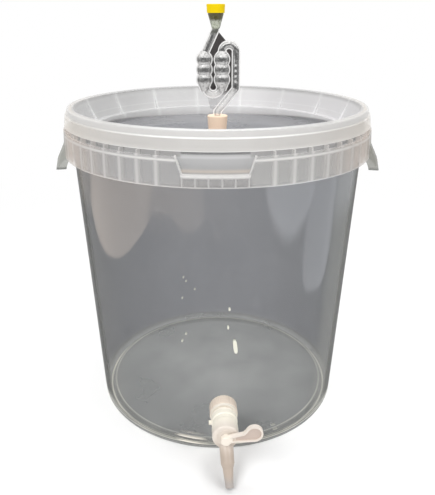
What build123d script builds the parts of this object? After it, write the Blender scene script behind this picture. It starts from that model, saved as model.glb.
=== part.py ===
from build123d import *
import os
from math import cos, radians, sin, tan

# Fermentation bucket with a lid, a bubbler airlock and a drain tap.
# Millimetres and degrees. The origin is the middle of the foot ring, on the floor.
# +Z is up and the tap points along -Y. Azimuths count from -Y towards +X.

CUT_OVERRUN = 1.0  # how far a cut runs past the face it opens

# Bucket wall, floor and foot
BASE_RADIUS = 159.0  # outside of the wall, carried down to the floor
WALL_DRAFT = 3.23
WALL = 2.0
BASE_CORNER = 8.0
FOOT_INNER_RADIUS = 147.0
FLOOR_RISE = 5.0  # underside of the floor panel above the foot
FLOOR = 2.5
FLOOR_STEP_RUN = 2.0

# Bucket rim, ledge and skirt
LEDGE_TOP = 365.0
LEDGE = 2.0
SKIRT_RADIUS = 188.2
SKIRT = 2.0
SKIRT_BOTTOM = 336.0
LIP_TOP = 366.8
RIM_TOP = 389.7
RIM_BEAD = 1.6
RIM_BEAD_DEPTH = 6.0
RIB = 1.8
RIB_TOP = 370.8
RIB_FIRST = 18.0  # azimuth of the first rib beside the window
RIB_COUNT_HALF = 25  # rib pitches from there round to the back
RIB_GRIP_GAP = 2.0  # degrees beside a grip with no rib
WINDOW_RIB_PITCH = 4.0
WINDOW_RIB_COUNT = 6

# Window for prising the lid, in the skirt at the front
MOULD_TURN = -3.3  # the mouldings of the rim are turned this much from the drilled tap hole
WINDOW_BOTTOM = 348.5
WINDOW_HALF_TOP = 40.0
WINDOW_HALF_BOTTOM = 32.4
WINDOW_FRAME = 2.0

# Side grips
GRIP_HALF_ANGLE = 13.0
GRIP_BOTTOM = 317.0
GRIP_RADIUS = 200.6
GRIP_NECK = (189.0, 349.5)  # radius and height where the grip starts to flare
GRIP_KNEE = (197.6, 331.5)  # and where it turns down again
GRIP_BEND = 10.0
GRIP_SHELL = 2.4
GRIP_CHEEK = 2.4
GRIP_CHEEK_FOOT = 188.6
GRIP_ARCH = (185.0, 327.0)  # middle of the arched lower edge of a cheek

# Lid
LID_TOP = 392.0
LID = 2.0
LID_EDGE = 371.8
LID_RADIUS = 187.0
LID_SHOULDER = 384.5  # small step round the lid's side
LID_SHOULDER_RADIUS = 185.2
LID_SHOULDER_INNER_RADIUS = 182.6
LID_SHOULDER_ROUND = 0.4
LID_STEP = 0.6
LID_STEP_RADIUS = 184.0
LID_CREST_RADIUS = 183.0
LID_CREST_ROUND = 2.5
LID_INNER_CREST_RADIUS = 176.8
LID_INNER_ROUND = 1.5
LID_LEDGE_TOP = 363.5
LID_LEDGE_RADIUS = 164.5
LID_PANEL_TOP = 352.5
LID_PANEL_RADIUS = 156.0
LID_PANEL_SLOPE = 2.0
LID_FOOT_ROUND = 2.0
LID_SNAP = 2.2  # inward bead along the lower edge
LID_SNAP_CREST = 2.0
LID_SNAP_DEPTH = 6.0
LID_BAND_TAPER = 0.9  # how much narrower the band is above the bead
LID_FIN_COUNT = 16
LID_FIN = 2.0
LID_FIN_INSET = 4.0
LID_HOLE_RADIUS = 11.0

# Rubber bung in the lid
BUNG_TOP = 376.0
BUNG_BOTTOM = 343.0
BUNG_TOP_RADIUS = 12.7
BUNG_BOTTOM_RADIUS = 10.2
BUNG_CORNER = 1.0
STEM_FIT = 0.06

# Airlock, heights above the floor and distances along X
STEM_RADIUS = 4.0
STEM_BOTTOM = 337.0
STEM_ELBOW = 381.0
AIRLOCK_WALL = 1.2
SEAM_WIDTH = 1.4  # flat seam that stands out round the tubes
SEAM_HALF = 0.7
SEAM_FOOT = 378.0
WEB_HALF = 0.4  # thinner web that fills the gaps between the tubes
TUBE_RADIUS = 3.8  # outside
RISER_X = 22.5
RISER_ELBOW = 409.0
BEND_HEIGHT = 453.0
RIGHT_COLUMN_X = 5.5
LEFT_COLUMN_X = -16.0
BULB_RADIUS = 8.8
BULB_NECK_RADIUS = 6.9
BULB_PITCH = 12.0
BULB_COUNT = 3
COLUMN_TOP = 450.0
COLUMN_TAPER = 4.0
LINK_HEIGHT = 411.0
LINK_SPREAD = 8.8
CUP_X = -2.0
CUP_NECK = 480.0
CUP_NECK_RADIUS = 4.8
CUP_SHOULDER = 496.0
CUP_TOP = 505.3
CUP_RADIUS = 9.4

# Airlock cap
CAP_BOTTOM = 497.6
CAP_TOP = 507.7
CAP_ROOF = 2.0
CAP_EDGE = 0.8
CAP_RADIUS_BOTTOM = 10.5
CAP_RADIUS_TOP = 11.1
CAP_CLEARANCE = 0.35
CAP_VENT_RADIUS = 0.9
CAP_VENT_CIRCLE = 5.5
CAP_VENT_COUNT = 4

# Tap: reach is the distance from the bucket's axis along -Y
TAP_HEIGHT = 50.0
TAP_LEAN = 3.5  # the tap is screwed up a little past upright, so that the spout leans to +X
SHANK_RADIUS = 12.0
SHANK_END = 139.0
SHANK_BORE_RADIUS = 8.0
HOLE_CLEARANCE = 0.4
COLLAR_BACK = 165.6
COLLAR_RADIUS = 15.2
COLLAR = 6.0
LUG_REACH = 168.8  # lug on the collar that keeps the tap from turning
LUG = 5.0
LUG_RADIUS = 18.0
NECK_RADIUS = 14.3
NECK_STEP = 1.0
HOUSING_BACK = 177.5
HOUSING_FRONT = 196.0
HOUSING_RADIUS = 15.0
HOUSING_CORNER = 2.0
HOUSING_STEP = 2.0
VALVE_BORE_RADIUS = 10.0
VALVE_BORE_END = 172.5
VALVE_CLEARANCE = 0.06
VALVE_WALL = 2.4
VALVE_END_GAP = 0.3
VALVE_PROUD = 0.4  # front of the plug beyond the housing
VALVE_FACE = 193.5  # inside of the valve's closed front end
VALVE_SNAP = 0.5
VALVE_SNAP_REACH = 176.0
VALVE_SNAP_HALF = 1.0
VALVE_PORT_RADIUS = 4.0
SEAL_SECTION = 0.8  # radius of a seal ring's section
SEAL_REACH = (179.5, 194.2)
SEAL_PLAY = 0.2

# Tap spout, leaning forwards from the tap's axis
SPOUT_LEAN = 40.6
SPOUT_REACH = 180.4
SPOUT_LENGTH = 61.2
SPOUT_ROOT_RADIUS = 8.2
SPOUT_STEP = 36.5
SPOUT_STEP_RADIUS = 7.7
SPOUT_NOSE = 41.5
SPOUT_NOSE_RADIUS = 6.0
SPOUT_TIP_RADIUS = 4.3
SPOUT_BORE_RADIUS = 2.8
OUTLET_RADIUS = 3.2
OUTLET_DEPTH = 16.0

# Tap lever
HUB_RADIUS = 5.6
HUB_EDGE = 1.5
HUB_FRONT = 203.2
LEVER_BACK = 197.6
LEVER_FRONT = 202.4
PADDLE_X = 31.2
PADDLE_Z = 8.6
PADDLE_RADIUS = 9.8
ARM_LOW = -1.9  # lower and upper edges of the arm at the hub
ARM_HIGH = 5.0
ARM_WAIST = (19.4, 9.4)
ARM_SHOULDER = (24.0, 14.2)
LEVER_RIM = 2.0
LEVER_RECESS = 1.7

# Tap nut and washers
WASHER_BORE_CLEARANCE = 0.2
OUTER_WASHER_RADIUS = 14.6
INNER_WASHER_RADIUS = 16.0
NUT_FRONT = 156.3
NUT = 14.5
NUT_RADIUS = 16.4
NUT_FLUTE_COUNT = 24
NUT_FLUTE_RADIUS = 0.7
NUT_CHAMFER = 1.0
NUT_CLEARANCE = 0.05

os.makedirs("parts", exist_ok=True)
upright = Plane.XZ  # x is the radius, y the height
tap_axis = Axis((0, 0, TAP_HEIGHT), (0, -1, 0))
tap_section = Plane(origin=(0, 0, TAP_HEIGHT), x_dir=(1, 0, 0), z_dir=(0, 0, -1))


def wall_radius(height):
    """Outside radius of the bucket's tapered wall at a height."""
    return BASE_RADIUS + height * tan(radians(WALL_DRAFT))


def radial_plane(azimuth):
    """Upright plane through the bucket's axis, with x outwards at the azimuth."""
    angle = radians(azimuth - 90)
    outward = (cos(angle), sin(angle), 0)
    return Plane(origin=(0, 0, 0), x_dir=outward, z_dir=(outward[1], -outward[0], 0))


def tap_plane(reach):
    """Plane across the tap's axis at a reach, with x to +X and y up."""
    return Plane(origin=(0, -reach, TAP_HEIGHT), x_dir=(1, 0, 0), z_dir=(0, -1, 0))


def round_corner(sketch, point, radius):
    """Round the corner of the open sketch that lies nearest to a point on its plane."""
    fillet(sketch.vertices().sort_by_distance(Vector(*point))[0], radius)


# Bucket

ledge_under = LEDGE_TOP - LEDGE
rim_radius = wall_radius(LEDGE_TOP)
skirt_inner = SKIRT_RADIUS - SKIRT
floor_top = FLOOR_RISE + FLOOR
mould_plane = Plane.XY.rotated((0, 0, MOULD_TURN - 90))
window_plane = radial_plane(MOULD_TURN)

rib_pitch = (180 - RIB_FIRST) / RIB_COUNT_HALF
half_ribs = [RIB_FIRST + rib_pitch * step for step in range(RIB_COUNT_HALF)]
clear_ribs = [angle for angle in half_ribs if abs(angle - 90) > GRIP_HALF_ANGLE + RIB_GRIP_GAP]
rib_angles = clear_ribs + [-angle for angle in clear_ribs] + [180]
window_rib_angles = [
    WINDOW_RIB_PITCH * (step - (WINDOW_RIB_COUNT - 1) / 2) for step in range(WINDOW_RIB_COUNT)
]
rib_inner = rim_radius - WALL
rib_outer = SKIRT_RADIUS - SKIRT / 2


def draw_ribs(angles):
    """Thin radial rectangles that join the wall to the skirt."""
    for angle in angles:
        with PolarLocations((rib_inner + rib_outer) / 2, 1, start_angle=angle):
            Rectangle(rib_outer - rib_inner, RIB)


def window_outline(margin):
    """Corners of the window's tapering outline, a margin outside its edges."""
    low = WINDOW_BOTTOM - margin
    high = LID_EDGE
    return [
        (-WINDOW_HALF_BOTTOM - margin, low),
        (WINDOW_HALF_BOTTOM + margin, low),
        (WINDOW_HALF_TOP + margin, high),
        (-WINDOW_HALF_TOP - margin, high),
    ]


def grip_line(depth):
    """Line down a grip, a depth behind its outside: ledge, neck, knee and lower edge."""
    return [
        (SKIRT_RADIUS - depth, LEDGE_TOP),
        (GRIP_NECK[0] - depth, GRIP_NECK[1]),
        (GRIP_KNEE[0] - depth, GRIP_KNEE[1]),
        (GRIP_RADIUS - depth, GRIP_BOTTOM),
    ]


window_front = Plane(
    origin=window_plane.x_dir * BASE_RADIUS,
    x_dir=window_plane.z_dir * -1,
    z_dir=window_plane.x_dir,
)
window_depth = SKIRT_RADIUS - BASE_RADIUS + CUT_OVERRUN

with BuildPart() as window_frame:
    with BuildSketch(window_front):
        Polygon(*window_outline(WINDOW_FRAME), align=None)
    extrude(amount=window_depth)
    with BuildSketch(upright):
        with BuildLine():
            Polyline(
                (rib_inner, WINDOW_BOTTOM - WINDOW_FRAME),
                (SKIRT_RADIUS, WINDOW_BOTTOM - WINDOW_FRAME),
                (SKIRT_RADIUS, LIP_TOP),
                (rib_inner, LIP_TOP),
                close=True,
            )
        make_face()
    revolve(axis=Axis.Z, mode=Mode.INTERSECT)

with BuildPart() as window_void:
    with BuildSketch(window_front):
        Polygon(*window_outline(0), align=None)
    extrude(amount=window_depth)
    with BuildSketch(Plane.XY.offset(WINDOW_BOTTOM - CUT_OVERRUN)):
        Circle(rim_radius)
    extrude(amount=LID_EDGE - WINDOW_BOTTOM + 2 * CUT_OVERRUN, mode=Mode.SUBTRACT)

with BuildPart() as bucket:
    with BuildSketch(upright) as bucket_section:
        with BuildLine():
            Polyline(
                (0, FLOOR_RISE),
                (FOOT_INNER_RADIUS - FLOOR_STEP_RUN, FLOOR_RISE),
                (FOOT_INNER_RADIUS, 0),
                (BASE_RADIUS, 0),
                (wall_radius(ledge_under), ledge_under),
                (skirt_inner, ledge_under),
                (skirt_inner, SKIRT_BOTTOM),
                (SKIRT_RADIUS, SKIRT_BOTTOM),
                (SKIRT_RADIUS, LIP_TOP),
                (skirt_inner, LIP_TOP),
                (skirt_inner, LEDGE_TOP),
                (rim_radius, LEDGE_TOP),
                (rim_radius, RIM_TOP - RIM_BEAD_DEPTH),
                (rim_radius + RIM_BEAD, RIM_TOP - RIM_BEAD_DEPTH / 2),
                (rim_radius + RIM_BEAD / 2, RIM_TOP),
                (rim_radius - WALL, RIM_TOP),
                (rim_radius - WALL, LEDGE_TOP),
                (wall_radius(FLOOR) - WALL, FLOOR),
                (FOOT_INNER_RADIUS + FLOOR, FLOOR),
                (FOOT_INNER_RADIUS + FLOOR - FLOOR_STEP_RUN, floor_top),
                (0, floor_top),
                close=True,
            )
        make_face()
        round_corner(bucket_section, (BASE_RADIUS, 0), BASE_CORNER)
        round_corner(bucket_section, (wall_radius(FLOOR) - WALL, FLOOR), BASE_CORNER - WALL)
    revolve(axis=Axis.Z)
    # Ribs that stiffen the skirt and carry on as the slotted strip under the lid's edge
    with BuildSketch(mould_plane.offset(SKIRT_BOTTOM)):
        draw_ribs(rib_angles)
    extrude(amount=RIB_TOP - SKIRT_BOTTOM)
    with BuildSketch(mould_plane.offset(SKIRT_BOTTOM)):
        draw_ribs(window_rib_angles)
    extrude(amount=WINDOW_BOTTOM - SKIRT_BOTTOM)
    # Window through the skirt, framed on three sides
    add(window_frame.part)
    add(window_void.part, mode=Mode.SUBTRACT)
    for side in (90, -90):
        first = MOULD_TURN + side - GRIP_HALF_ANGLE
        # The skirt is open behind each grip, to let fingers in
        with BuildSketch(radial_plane(first)):
            with BuildLine():
                Polyline(
                    (skirt_inner, SKIRT_BOTTOM - CUT_OVERRUN),
                    (SKIRT_RADIUS + CUT_OVERRUN, SKIRT_BOTTOM - CUT_OVERRUN),
                    (SKIRT_RADIUS + CUT_OVERRUN, ledge_under),
                    (skirt_inner, ledge_under),
                    close=True,
                )
            make_face()
        revolve(axis=Axis.Z, revolution_arc=2 * GRIP_HALF_ANGLE, mode=Mode.SUBTRACT)
        # Flared grip shell, hanging from the ledge
        with BuildSketch(radial_plane(first)) as grip_section:
            with BuildLine():
                Polyline(*grip_line(0), *reversed(grip_line(GRIP_SHELL)), close=True)
            make_face()
            for depth in (0, GRIP_SHELL):
                for corner in grip_line(depth)[1:3]:
                    round_corner(grip_section, corner, GRIP_BEND)
        revolve(axis=Axis.Z, revolution_arc=2 * GRIP_HALF_ANGLE)
        # Cheeks that close the ends of the grip
        for end in (-1, 1):
            with BuildSketch(radial_plane(MOULD_TURN + side + end * GRIP_HALF_ANGLE)):
                with BuildLine():
                    Polyline(
                        (rib_inner, SKIRT_BOTTOM),
                        (rib_inner, LEDGE_TOP),
                        *grip_line(GRIP_SHELL / 2),
                        (GRIP_CHEEK_FOOT, GRIP_BOTTOM),
                    )
                    ThreePointArc((GRIP_CHEEK_FOOT, GRIP_BOTTOM), GRIP_ARCH, (rib_inner, SKIRT_BOTTOM))
                make_face()
            extrude(amount=GRIP_CHEEK / 2, both=True)
    # Hole for the tap
    with BuildSketch(tap_plane(SHANK_END)):
        Circle(SHANK_RADIUS + HOLE_CLEARANCE)
    extrude(amount=COLLAR_BACK - SHANK_END, mode=Mode.SUBTRACT)

bucket.part.label = "bucket"
export_step(bucket.part, "parts/bucket.step")


# Lid

lid_wall_foot = LID_LEDGE_RADIUS + LID
fin_angle = 360 / LID_FIN_COUNT

with BuildPart() as lid:
    with BuildSketch(upright) as lid_section:
        with BuildLine():
            Polyline(
                (LID_HOLE_RADIUS, LID_PANEL_TOP),
                (LID_PANEL_RADIUS, LID_PANEL_TOP),
                (LID_PANEL_RADIUS + LID_PANEL_SLOPE, LID_LEDGE_TOP),
                (LID_LEDGE_RADIUS, LID_LEDGE_TOP),
                (LID_INNER_CREST_RADIUS - LID, LID_TOP),
                (LID_CREST_RADIUS, LID_TOP),
                (LID_STEP_RADIUS, LID_SHOULDER + LID_STEP),
                (LID_SHOULDER_RADIUS, LID_SHOULDER),
                (LID_RADIUS, LID_EDGE),
                (LID_RADIUS - LID, LID_EDGE),
                (LID_RADIUS - LID_SNAP - LID, LID_EDGE + LID_SNAP_CREST),
                (LID_RADIUS - LID_BAND_TAPER - LID, LID_EDGE + LID_SNAP_DEPTH),
                (LID_SHOULDER_INNER_RADIUS, LID_SHOULDER),
                (LID_CREST_RADIUS - LID, LID_TOP - LID),
                (LID_INNER_CREST_RADIUS, LID_TOP - LID),
                (lid_wall_foot, LID_LEDGE_TOP - LID),
                (LID_PANEL_RADIUS + LID_PANEL_SLOPE + LID, LID_LEDGE_TOP - LID),
                (LID_PANEL_RADIUS + LID, LID_PANEL_TOP - LID),
                (LID_HOLE_RADIUS, LID_PANEL_TOP - LID),
                close=True,
            )
        make_face()
        round_corner(lid_section, (LID_CREST_RADIUS, LID_TOP), LID_CREST_ROUND)
        round_corner(lid_section, (LID_INNER_CREST_RADIUS - LID, LID_TOP), LID_INNER_ROUND)
        round_corner(lid_section, (LID_LEDGE_RADIUS, LID_LEDGE_TOP), LID_FOOT_ROUND)
        round_corner(lid_section, (LID_PANEL_RADIUS, LID_PANEL_TOP), LID_FOOT_ROUND)
        round_corner(lid_section, (LID_SHOULDER_RADIUS, LID_SHOULDER), LID_SHOULDER_ROUND)
    revolve(axis=Axis.Z)
    # Fins that stand on the inner ledge and stiffen the recess wall
    for step in range(LID_FIN_COUNT):
        with BuildSketch(radial_plane(MOULD_TURN + fin_angle * (step + 0.5))):
            with BuildLine():
                Polyline(
                    (LID_PANEL_RADIUS + LID_FIN_INSET, LID_LEDGE_TOP - LID / 2),
                    (lid_wall_foot - LID / 2, LID_LEDGE_TOP - LID / 2),
                    (LID_INNER_CREST_RADIUS - LID, LID_TOP - LID),
                    close=True,
                )
            make_face()
        extrude(amount=LID_FIN / 2, both=True)

lid.part.label = "lid"
export_step(lid.part, "parts/lid.step")


# Rubber bung

with BuildPart() as airlock_bung:
    with BuildSketch(upright) as bung_section:
        with BuildLine():
            Polyline(
                (STEM_RADIUS + STEM_FIT, BUNG_BOTTOM),
                (BUNG_BOTTOM_RADIUS, BUNG_BOTTOM),
                (BUNG_TOP_RADIUS, BUNG_TOP),
                (STEM_RADIUS + STEM_FIT, BUNG_TOP),
                close=True,
            )
        make_face()
        round_corner(bung_section, (BUNG_BOTTOM_RADIUS, BUNG_BOTTOM), BUNG_CORNER)
        round_corner(bung_section, (BUNG_TOP_RADIUS, BUNG_TOP), BUNG_CORNER)
    revolve(axis=Axis.Z)

airlock_bung.part.label = "airlock_bung"
export_step(airlock_bung.part, "parts/airlock_bung.step")


# Airlock: one winding tube with two columns of bulbs, moulded as two halves

column_foot = COLUMN_TOP - BULB_COUNT * BULB_PITCH
column_low = column_foot - 2 * COLUMN_TAPER
column_high = COLUMN_TOP + COLUMN_TAPER
bend_spread = (RISER_X - RIGHT_COLUMN_X) / 2
bend_x = RISER_X - bend_spread
link_x = (LEFT_COLUMN_X + RIGHT_COLUMN_X) / 2


def column_side(x, shrink):
    """Half outline of a column of bulbs that tapers to the tube at both ends."""
    tube = x + TUBE_RADIUS - shrink
    neck = x + BULB_NECK_RADIUS - shrink
    bulb = x + BULB_RADIUS - shrink
    Polyline((x, column_high), (x, column_low), (tube, column_low), (neck, column_foot))
    for step in range(BULB_COUNT):
        foot = column_foot + step * BULB_PITCH
        ThreePointArc((neck, foot), (bulb, foot + BULB_PITCH / 2), (neck, foot + BULB_PITCH))
    Polyline((neck, COLUMN_TOP), (tube, column_high), (x, column_high))


def bulb_column(x, shrink):
    """Column of bulbs turned about its own upright axis."""
    with BuildPart() as column:
        with BuildSketch(upright):
            with BuildLine():
                column_side(x, shrink)
            make_face()
        revolve(axis=Axis((x, 0, 0), (0, 0, 1)))
    return column.part


def cup(shrink, top):
    """Open cup at the upper end of the tube, filled to a height."""
    with BuildPart() as filled:
        with BuildSketch(upright):
            with BuildLine():
                Polyline(
                    (CUP_X, CUP_NECK),
                    (CUP_X + CUP_NECK_RADIUS - shrink, CUP_NECK),
                    (CUP_X + CUP_RADIUS - shrink, CUP_SHOULDER),
                    (CUP_X + CUP_RADIUS - shrink, top),
                    (CUP_X, top),
                    close=True,
                )
            make_face()
        revolve(axis=Axis((CUP_X, 0, 0), (0, 0, 1)))
    return filled.part


def straight_tube(start, end, radius):
    """Round rod with ball ends between two points of the airlock's plane."""
    tail = Vector(start[0], 0, start[1])
    run = Vector(end[0], 0, end[1]) - tail
    with BuildPart() as rod:
        with BuildSketch(Plane(origin=tail, z_dir=run)):
            Circle(radius)
        extrude(amount=run.length)
        with Locations(tail, tail + run):
            Sphere(radius)
    return rod.part


def tube_bend(x, height, spread, radius, turn):
    """Half-round bend about a centre; turn is 180 for a bend below its ends, -180 above."""
    with BuildPart() as bend:
        with BuildSketch(Plane.XY.offset(height)):
            with Locations((x - spread, 0)):
                Circle(radius)
        revolve(axis=Axis((x, 0, height), (0, -1, 0)), revolution_arc=turn)
    return bend.part


def winding_tube(shrink, cup_top, stem_bottom):
    """The whole winding tube as one solid, smaller all round by shrink."""
    tube = TUBE_RADIUS - shrink
    runs = [
        bulb_column(LEFT_COLUMN_X, shrink),
        bulb_column(RIGHT_COLUMN_X, shrink),
        cup(shrink, cup_top),
        straight_tube((0, STEM_ELBOW), (RISER_X, RISER_ELBOW), tube),
        straight_tube((RISER_X, RISER_ELBOW), (RISER_X, BEND_HEIGHT), tube),
        straight_tube((LEFT_COLUMN_X, COLUMN_TOP), (CUP_X, CUP_NECK), tube),
        tube_bend(bend_x, BEND_HEIGHT, bend_spread, tube, -180),
        tube_bend(link_x, LINK_HEIGHT, LINK_SPREAD, tube, 180),
    ]
    with BuildPart() as whole:
        with BuildSketch(Plane.XY.offset(stem_bottom)):
            Circle(STEM_RADIUS - shrink)
        extrude(amount=STEM_ELBOW - stem_bottom)
        add(runs)
    return whole.part


outer_tube = winding_tube(0, CUP_TOP, STEM_BOTTOM)
hollow = winding_tube(AIRLOCK_WALL, CUP_TOP + CUT_OVERRUN, STEM_BOTTOM - CUT_OVERRUN)
seam_breadth = 2 * (TUBE_RADIUS + SEAM_WIDTH)

with BuildPart() as airlock_shell:
    add(outer_tube)
    # Flat seam that follows the tubes
    with BuildSketch(upright):
        for x in (LEFT_COLUMN_X, RIGHT_COLUMN_X):
            with BuildLine():
                column_side(x, -SEAM_WIDTH)
            side = make_face()
            mirror(side, about=Plane.YZ.offset(x))
        with BuildLine():
            Polyline((0, SEAM_FOOT), (0, STEM_ELBOW), (RISER_X, RISER_ELBOW), (RISER_X, BEND_HEIGHT))
            CenterArc((bend_x, BEND_HEIGHT), bend_spread, 0, 180)
        trace(line_width=seam_breadth)
        with BuildLine():
            CenterArc((link_x, LINK_HEIGHT), LINK_SPREAD, 180, 180)
        trace(line_width=seam_breadth)
        with BuildLine():
            Line((LEFT_COLUMN_X, COLUMN_TOP), (CUP_X, CUP_NECK))
        trace(line_width=seam_breadth)
    extrude(amount=SEAM_HALF, both=True)
    # Thin web between the tubes
    with BuildSketch(upright):
        Polygon(
            (0, STEM_ELBOW),
            (RISER_X, RISER_ELBOW),
            (RISER_X, BEND_HEIGHT),
            (bend_x, BEND_HEIGHT + bend_spread),
            (CUP_X, CUP_NECK),
            (LEFT_COLUMN_X, COLUMN_TOP),
            (LEFT_COLUMN_X, column_foot),
            (link_x - TUBE_RADIUS, STEM_ELBOW + TUBE_RADIUS),
            align=None,
        )
    extrude(amount=WEB_HALF, both=True)
    add(hollow, mode=Mode.SUBTRACT)

with BuildPart() as airlock_back_half:
    add(airlock_shell.part)
    split(bisect_by=Plane.XZ, keep=Keep.BOTTOM)

airlock_back_half.part.label = "airlock_back_half"
export_step(airlock_back_half.part, "parts/airlock_back_half.step")

with BuildPart() as airlock_front_half:
    mirror(airlock_back_half.part, about=Plane.XZ)

airlock_front_half.part.label = "airlock_front_half"
export_step(airlock_front_half.part, "parts/airlock_front_half.step")


# Airlock cap

cap_bore = CUP_RADIUS + CAP_CLEARANCE
cap_axis = Axis((CUP_X, 0, 0), (0, 0, 1))

with BuildPart() as airlock_cap:
    with BuildSketch(upright):
        with BuildLine():
            Polyline(
                (CUP_X, CAP_TOP - CAP_ROOF),
                (CUP_X + cap_bore, CAP_TOP - CAP_ROOF),
                (CUP_X + cap_bore, CAP_BOTTOM),
                (CUP_X + CAP_RADIUS_BOTTOM, CAP_BOTTOM),
                (CUP_X + CAP_RADIUS_TOP, CAP_TOP),
                (CUP_X, CAP_TOP),
                close=True,
            )
        make_face()
    revolve(axis=cap_axis)
    fillet(airlock_cap.edges().filter_by(GeomType.CIRCLE).sort_by(Axis.Z)[-1], CAP_EDGE)
    with Locations((CUP_X, 0, CAP_TOP)):
        with PolarLocations(CAP_VENT_CIRCLE, CAP_VENT_COUNT):
            Hole(CAP_VENT_RADIUS, depth=CAP_ROOF)

airlock_cap.part.label = "airlock_cap"
export_step(airlock_cap.part, "parts/airlock_cap.step")


# Tap body: shank, collar and valve housing turned as one, with the spout leaning forwards

lean = radians(SPOUT_LEAN)
turn = radians(TAP_LEAN)
tap_side = Vector(-cos(turn), 0, -sin(turn))
spout_root = Vector(0, -SPOUT_REACH, TAP_HEIGHT)
spout_way = Vector(cos(lean) * sin(turn), -sin(lean), -cos(lean) * cos(turn))
spout_section = Plane(origin=spout_root, x_dir=tap_side, z_dir=tap_side.cross(spout_way))
spout_tip = Plane(origin=spout_root + spout_way * SPOUT_LENGTH, x_dir=tap_side, z_dir=spout_way)
collar_front = COLLAR_BACK + COLLAR
snap_half = VALVE_SNAP + VALVE_SNAP_HALF

with BuildPart() as tap_body:
    with BuildSketch(tap_section) as housing_section:
        with BuildLine():
            Polyline(
                (0, SHANK_END),
                (SHANK_RADIUS, SHANK_END),
                (SHANK_RADIUS, COLLAR_BACK),
                (COLLAR_RADIUS, COLLAR_BACK),
                (COLLAR_RADIUS, collar_front),
                (NECK_RADIUS, collar_front + NECK_STEP),
                (NECK_RADIUS, HOUSING_BACK),
                (HOUSING_RADIUS, HOUSING_BACK + HOUSING_STEP),
                (HOUSING_RADIUS, HOUSING_FRONT),
                (0, HOUSING_FRONT),
                close=True,
            )
        make_face()
        round_corner(housing_section, (HOUSING_RADIUS, HOUSING_FRONT), HOUSING_CORNER)
        round_corner(housing_section, (COLLAR_RADIUS, collar_front), HOUSING_CORNER)
    revolve(axis=tap_axis)
    with BuildSketch(Plane(origin=(0, -LUG_REACH, TAP_HEIGHT), z_dir=tap_side)):
        Circle(LUG / 2)
    extrude(amount=LUG_RADIUS)
    with BuildSketch(spout_section):
        with BuildLine():
            Polyline(
                (0, 0),
                (SPOUT_ROOT_RADIUS, 0),
                (SPOUT_STEP_RADIUS, SPOUT_STEP),
                (SPOUT_NOSE_RADIUS, SPOUT_NOSE),
                (SPOUT_TIP_RADIUS, SPOUT_LENGTH),
                (0, SPOUT_LENGTH),
                close=True,
            )
        make_face()
    revolve(axis=Axis(spout_root, spout_way))
    # Passage from the bucket through the shank into the valve's bore
    with BuildSketch(tap_section):
        with BuildLine():
            Polyline(
                (0, SHANK_END - CUT_OVERRUN),
                (SHANK_BORE_RADIUS, SHANK_END - CUT_OVERRUN),
                (SHANK_BORE_RADIUS, VALVE_BORE_END),
                (VALVE_BORE_RADIUS, VALVE_BORE_END),
                (VALVE_BORE_RADIUS, VALVE_SNAP_REACH - snap_half),
                (VALVE_BORE_RADIUS + VALVE_SNAP, VALVE_SNAP_REACH - snap_half + VALVE_SNAP),
                (VALVE_BORE_RADIUS + VALVE_SNAP, VALVE_SNAP_REACH + snap_half - VALVE_SNAP),
                (VALVE_BORE_RADIUS, VALVE_SNAP_REACH + snap_half),
                (VALVE_BORE_RADIUS, HOUSING_FRONT + CUT_OVERRUN),
                (0, HOUSING_FRONT + CUT_OVERRUN),
                close=True,
            )
        make_face()
    revolve(axis=tap_axis, mode=Mode.SUBTRACT)
    # Outlet down the spout, wider at the tip to take a filling tube
    with BuildSketch(spout_tip):
        Circle(SPOUT_BORE_RADIUS)
    extrude(amount=-SPOUT_LENGTH, mode=Mode.SUBTRACT)
    with BuildSketch(spout_tip):
        Circle(OUTLET_RADIUS)
    extrude(amount=-OUTLET_DEPTH, mode=Mode.SUBTRACT)

tap_body.part.label = "tap_body"
export_step(tap_body.part, "parts/tap_body.step")


# Tap valve: hollow plug with a side port, turned by the lever at its front

valve_radius = VALVE_BORE_RADIUS - VALVE_CLEARANCE
valve_back = VALVE_BORE_END + VALVE_END_GAP
valve_front = HOUSING_FRONT + VALVE_PROUD
port_reach = SPOUT_REACH + VALVE_BORE_RADIUS * tan(lean)
seal_radius = VALVE_BORE_RADIUS - VALVE_CLEARANCE / 3 - SEAL_SECTION
groove_radius = seal_radius - SEAL_SECTION


def draw_lever():
    """Lever outline seen from the front: hub, flaring arm and round paddle."""
    Circle(HUB_RADIUS)
    with Locations((PADDLE_X, PADDLE_Z)):
        Circle(PADDLE_RADIUS)
    Polygon(
        (0, ARM_LOW),
        (PADDLE_X, PADDLE_Z - PADDLE_RADIUS),
        (PADDLE_X, PADDLE_Z),
        ARM_SHOULDER,
        ARM_WAIST,
        (0, ARM_HIGH),
        align=None,
    )


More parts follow.
